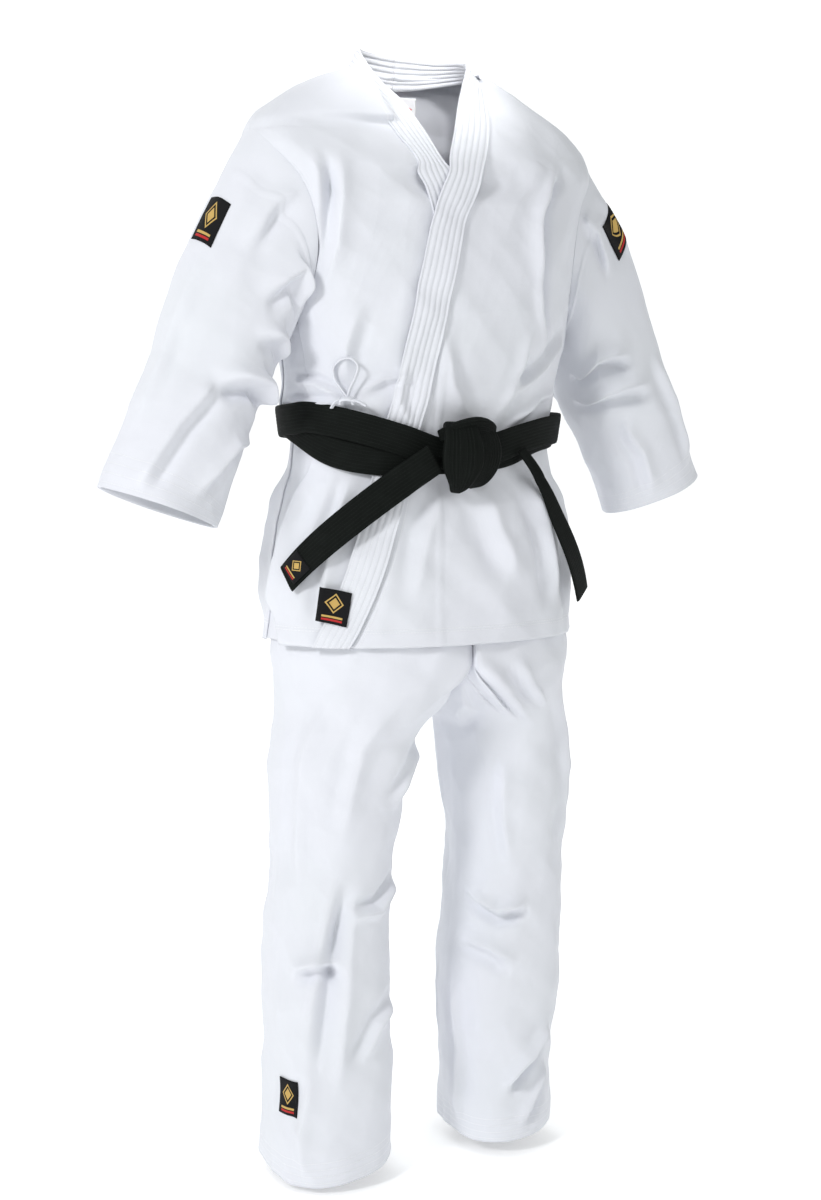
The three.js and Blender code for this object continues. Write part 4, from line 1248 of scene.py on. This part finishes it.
front_pad = knot_part(
    "knot_front",
    [(-0.016, 0.006, 0.038), (-0.016, -0.010, 0.036), (-0.017, -0.019, 0.020), (-0.018, -0.0215, 0.000),
     (-0.018, -0.0185, -0.020), (-0.017, -0.009, -0.036), (-0.016, 0.002, -0.042)],
    (0.93, -0.30, -0.05), 0.050, 0.0120, [0.62, 0.86, 1.0, 1.08, 1.0, 0.66, 0.30])
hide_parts("belt_knot")
knot_part(
    "knot_left_lobe",
    [(0.016, 0.008, 0.036), (0.021, -0.004, 0.033), (0.026, -0.0110, 0.016), (0.026, -0.0120, -0.004),
     (0.022, -0.008, -0.020), (0.012, 0.000, -0.033), (0.006, 0.008, -0.036)],
    (0.95, 0.22, -0.10), 0.038, 0.0110, [0.7, 0.95, 1.05, 1.05, 0.95, 0.8, 0.6])
knot_part(
    "knot_top_roll",
    [(-0.036, 0.004, 0.026), (-0.028, -0.008, 0.031), (-0.012, -0.014, 0.036), (0.006, -0.0135, 0.039),
     (0.022, -0.010, 0.037), (0.034, -0.003, 0.032), (0.040, 0.006, 0.026)],
    (0.1, -0.25, 0.95), 0.022, 0.0120, [0.7, 0.9, 1.0, 1.0, 1.0, 0.9, 0.8])

# Each tail on the unrolled skirt: its side, degrees of fall, start round the body and drop, the run's two ends.
RIGHT_TAIL = {"side": -1, "fall": 42, "apart": 0.014, "drop": 0.449, "from": 0.036, "to": 0.262}
LEFT_TAIL = {"side": 1, "fall": 66, "apart": 0.040, "drop": 0.433, "from": 0.034, "to": 0.245}
QUARTER_GIRTH = math.pi / 2 * WAIST_RADIUS


def tail_point(tail, run, across, out):
    """run is along the tail and across is over its width. Its stiffness bows it up a little."""
    sine, cosine = math.sin(math.radians(tail["fall"])), math.cos(math.radians(tail["fall"]))
    bow = -0.0055 * np.sin(math.pi * np.clip(run / tail["to"], 0, 1))
    drop = tail["drop"] + run * sine + across * cosine + bow
    arc = tail["apart"] + run * cosine - across * sine
    point = jacket_surface(tail["side"] * 90 * arc / QUARTER_GIRTH, np.maximum(drop, 0.502), out)
    point[..., 2] = -drop
    return point


def tail(tail_data, word, out, turned, node, narrowing=None):
    """turned adds a share of the wearer's left to the width direction at the free end, which turns the face."""
    run = np.linspace(tail_data["from"], tail_data["to"], TAIL_RINGS)
    share = np.linspace(0, 1, TAIL_RINGS)
    lift = smooth_read([0, 0.15, 0.5, 1], out, share) + 0.0008 * np.sin(run * 40)
    path = tail_point(tail_data, run, 0.0, lift)
    edge = tail_point(tail_data, run, 0.010, lift)
    widthwise = (path - edge) * tail_data["side"]
    widthwise = widthwise + turned * eased(share)[:, None] * 0.010 * np.array([1.0, 0.35, 0.0])
    made = belt_run(f"tail_{word}", path, widthwise, BELT_WIDTH, BELT_THICKNESS, narrowing=narrowing)
    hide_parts(node)
    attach(made, f"{word}_tail")


tail(RIGHT_TAIL, "right", [0.0225, 0.0225, 0.0195, 0.0165], 0.0, "right_belt_tail")
tail(LEFT_TAIL, "left", [0.0100, 0.0215, 0.0215, 0.0225], 0.55, "left_belt_tail", [0.35, 0.5, 0.8, 0.95, 1.0])
print("belt made")

# %% [markdown]
# ## Badges, emblem and label
# Small woven squares, sewn on all round. Each is a patch of its own a millimetre above the cloth, laid on the
# same folded surface, so it bends with it. The marks are plain lozenges and bars.

# %% Badges
def badge_piece(name, points, outward_from, node, body, slot="patch_weave", material=None):
    rows, columns = points.shape[:2]
    u, v = np.meshgrid(np.linspace(0, 1, columns), np.linspace(1, 0, rows))
    made = piece(name, grid_mesh(name, points, uv=np.stack([u, v], -1), outward_from=outward_from),
                 material or badge, slot, 0.0012, inwards=False)
    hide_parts(node)
    if isinstance(body, dict):
        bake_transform(made)
    else:
        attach(made, body)


def square(rows=26, columns=26):
    """Places across and down a badge, each from -0.5 to 0.5."""
    return np.meshgrid(np.linspace(-0.5, 0.5, columns), np.linspace(-0.5, 0.5, rows))


def crowned(across, down, height=0.0008):
    """A badge is a little thicker inside its bound edge."""
    return height * (1 - np.maximum(np.abs(across), np.abs(down)) ** 8 * 256)


BADGE_LIFT = 0.0012
across, down = square()
for side, word, around, share in ((-1, "right", 76.0, 0.262), (1, "left", 52.0, 0.190)):
    angle = around + side * across * 0.052 / SLEEVE_DEGREE
    along = share + down * 0.050 / SLEEVE_LENGTH
    points = sleeve_cloth(side, word, angle, along, BADGE_LIFT + crowned(across, down))
    badge_piece(f"sleeve_badge_{word}", points, (side * 0.26, 0, -0.30), f"{word}_sleeve_patch",
                {"a": "garment", "b": f"{word}_sleeve_cloth", **sleeve_joint(side)})

angle = -54.8 + across * 13.6 + down * -2.0
drop = 0.657 + down * 0.043 + across * 0.008
points = jacket_cloth(angle, drop, -0.0062 - crowned(across, down))
badge_piece("hem_badge", points, (0, 0, -0.66), "hem_patch", "garment")

angle = -69 + across * 0.034 / LEG_DEGREE
points = trouser_cloth(-1, "right", angle, 1.293 + down * 0.042, BADGE_LIFT + crowned(across, down))
badge_piece("leg_badge", points, (-0.124, 0, -1.312), "leg_patch", "right_leg_cloth")

run = RIGHT_TAIL["to"] - 0.022 + down * 0.028
points = tail_point(RIGHT_TAIL, run, across * 0.030, 0.0203 + crowned(across, down))
badge_piece("tail_emblem", points, (0, 0, -0.66), "belt_tail_emblem", "right_tail", "thread", emblem)

label_across, label_down = square(14, 20)
half_turn = math.pi * (1 + label_across * 0.20)
points = np.stack([0.0800 * np.sin(half_turn), -0.0565 * np.cos(half_turn), -0.010 - 0.030 * label_down], -1)
u, v = np.meshgrid(np.linspace(0, 1, 20), np.linspace(1, 0, 14))
label_mesh = grid_mesh("neck_tape", points, uv=np.stack([u, v], -1), outward_from=(0, 0.2, -0.02))
neck_tape = piece("neck_tape", label_mesh, tape, "label_tape", 0.0008, inwards=False)
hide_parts("neck_label")
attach(neck_tape, "garment")
print("badges made")

# %% [markdown]
# ## Side tie
# The jacket closes on the wearer's right with two flat tapes tied in a bow. A loop of tape stands up from the
# small knot, and two ends hang under it.

# %% Side tie
TIE_WIDTH = 0.0060
tie_anchor = jacket_cloth(np.array(-52.0), np.array(0.396), -0.0035)
tie_side = jacket_surface(np.array(-48.0), np.array(0.396)) - jacket_surface(np.array(-56.0), np.array(0.396))
tie_side /= np.linalg.norm(tie_side)
tie_out = np.cross(tie_side, UP)
tie_out *= np.sign(tie_out @ tie_anchor)


def on_tie(offsets):
    """offsets are (across, up, out) from the small knot, in metres."""
    offsets = np.asarray(offsets, float)
    return tie_anchor + offsets @ np.array([tie_side, UP, tie_out])


def tie_run(name, offsets, count, nodes, thickness=0.0022, width=TIE_WIDTH):
    """One short strip of the side tie, from offsets along, up and out of the bow."""
    path = through(on_tie(offsets), count)
    widthwise = np.gradient(path, axis=0)
    widthwise = np.cross(widthwise, tie_out) * 0.35 + tie_out * np.linalg.norm(widthwise, axis=1, keepdims=True)
    made = belt_run(name, path, widthwise, width, thickness)
    made.data.materials[0] = plain_canvas
    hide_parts(*nodes)
    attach(made, "garment")


tie_run("tie_loop", [
    (0.001, 0.002, 0.004), (-0.006, 0.012, 0.005), (-0.015, 0.026, 0.006), (-0.016, 0.040, 0.006),
    (-0.006, 0.050, 0.006), (0.008, 0.051, 0.006), (0.016, 0.042, 0.006), (0.013, 0.028, 0.006),
    (0.006, 0.014, 0.006), (0.002, 0.003, 0.005)], 90, ["side_tie_loop"])
tie_run("tie_wrap", [
    (-0.008, -0.003, 0.002), (-0.005, 0.000, 0.007), (0.001, 0.001, 0.009), (0.007, 0.000, 0.006),
    (0.009, -0.003, 0.002)], 30, ["side_tie_knot"], 0.0035, 0.011)
tie_run("tie_end_front", [
    (0.003, -0.001, 0.005), (0.010, -0.001, 0.008), (0.018, -0.003, 0.008), (0.026, -0.008, 0.006),
], 30, ["side_tie_front_end"])
tie_run("tie_end_rear", [
    (-0.003, -0.001, 0.005), (-0.009, -0.001, 0.008), (-0.015, -0.005, 0.007), (-0.019, -0.011, 0.005),
], 30, ["side_tie_rear_end"])
print("tie made")

# %% [markdown]
# ## Floor and light
# White cloth on a white ground shows its shape only by soft shading. The main light comes from the wearer's
# right and a little in front, so that it grazes the folds. A weaker one fills the other side, one behind lights
# the paper, and a small one looks into the neck. The ground is a paper sweep that glows a little, which leaves
# no horizon.

# %% Floor and light
FLOOR = -1.428
SWEEP_START = 3.0  # metres behind the uniform where the paper begins to curve up
SWEEP_RADIUS = 2.0
turn = np.linspace(0, math.pi / 2, 40)
curve = np.stack([SWEEP_START + SWEEP_RADIUS * np.sin(turn), SWEEP_RADIUS - SWEEP_RADIUS * np.cos(turn)], -1)
sweep = np.concatenate([[[-6.0, 0.0]], curve, [[5.0, 7.0]]])
wide = np.linspace(-7, 7, 2)
away = np.array([-math.sin(CAMERA_AZIMUTH), math.cos(CAMERA_AZIMUTH)])
beside = np.array([math.cos(CAMERA_AZIMUTH), math.sin(CAMERA_AZIMUTH)])
level = sweep[:, None, :1] * away + wide[None, :, None] * beside
height = np.broadcast_to(FLOOR + sweep[:, None, 1:], level.shape[:2] + (1,))
floor_mesh = grid_mesh("floor", np.concatenate([level, height], -1), outward_from=(0, 0, -9))
floor = bpy.data.objects.new("floor", floor_mesh)
bpy.context.scene.collection.objects.link(floor)
ground = Build("ground")
ground.set(Base_Color=(0.95, 0.955, 0.96, 1), Roughness=1.0)
ground.set(Emission_Color=(1.0, 1.0, 1.0, 1), Emission_Strength=0.34)
floor_mesh.materials.append(ground.material)


def soft_light(name, place, aim, size, watts, colour=(1, 1, 1)):
    """A round soft lamp at place that shines towards aim."""
    lamp = bpy.data.lights.new(name, "AREA")
    lamp.shape = "DISK"
    lamp.size = size
    lamp.energy = watts
    lamp.color = colour
    made = bpy.data.objects.new(name, lamp)
    bpy.context.scene.collection.objects.link(made)
    direction = np.asarray(aim, float) - np.asarray(place, float)
    made.location = place
    made.rotation_euler = (math.acos(-direction[2] / np.linalg.norm(direction)), 0,
                           math.atan2(direction[1], direction[0]) - math.pi / 2)
    return made


soft_light("key", (-3.4, -1.5, 1.3), (0, 0, -0.6), 0.9, 74, (0.985, 0.985, 1.0))
soft_light("fill", (2.6, -3.0, 0.9), (0, 0, -0.7), 1.8, 12)
soft_light("behind", (0.0, 3.4, 1.4), (0, 0, -0.6), 2.4, 30)
neck_lamp = soft_light("neck", (-0.10, -0.42, 0.42), (0.0, 0.07, -0.02), 0.12, 0.22)
neck_lamp.data.spread = math.radians(38)
world = bpy.data.worlds.new("studio")
world.use_nodes = True
world.node_tree.nodes["Background"].inputs[0].default_value = (0.965, 0.99, 0.985, 1)
world.node_tree.nodes["Background"].inputs[1].default_value = 0.50
bpy.context.scene.world = world
bpy.context.scene.view_settings.view_transform = "Standard"
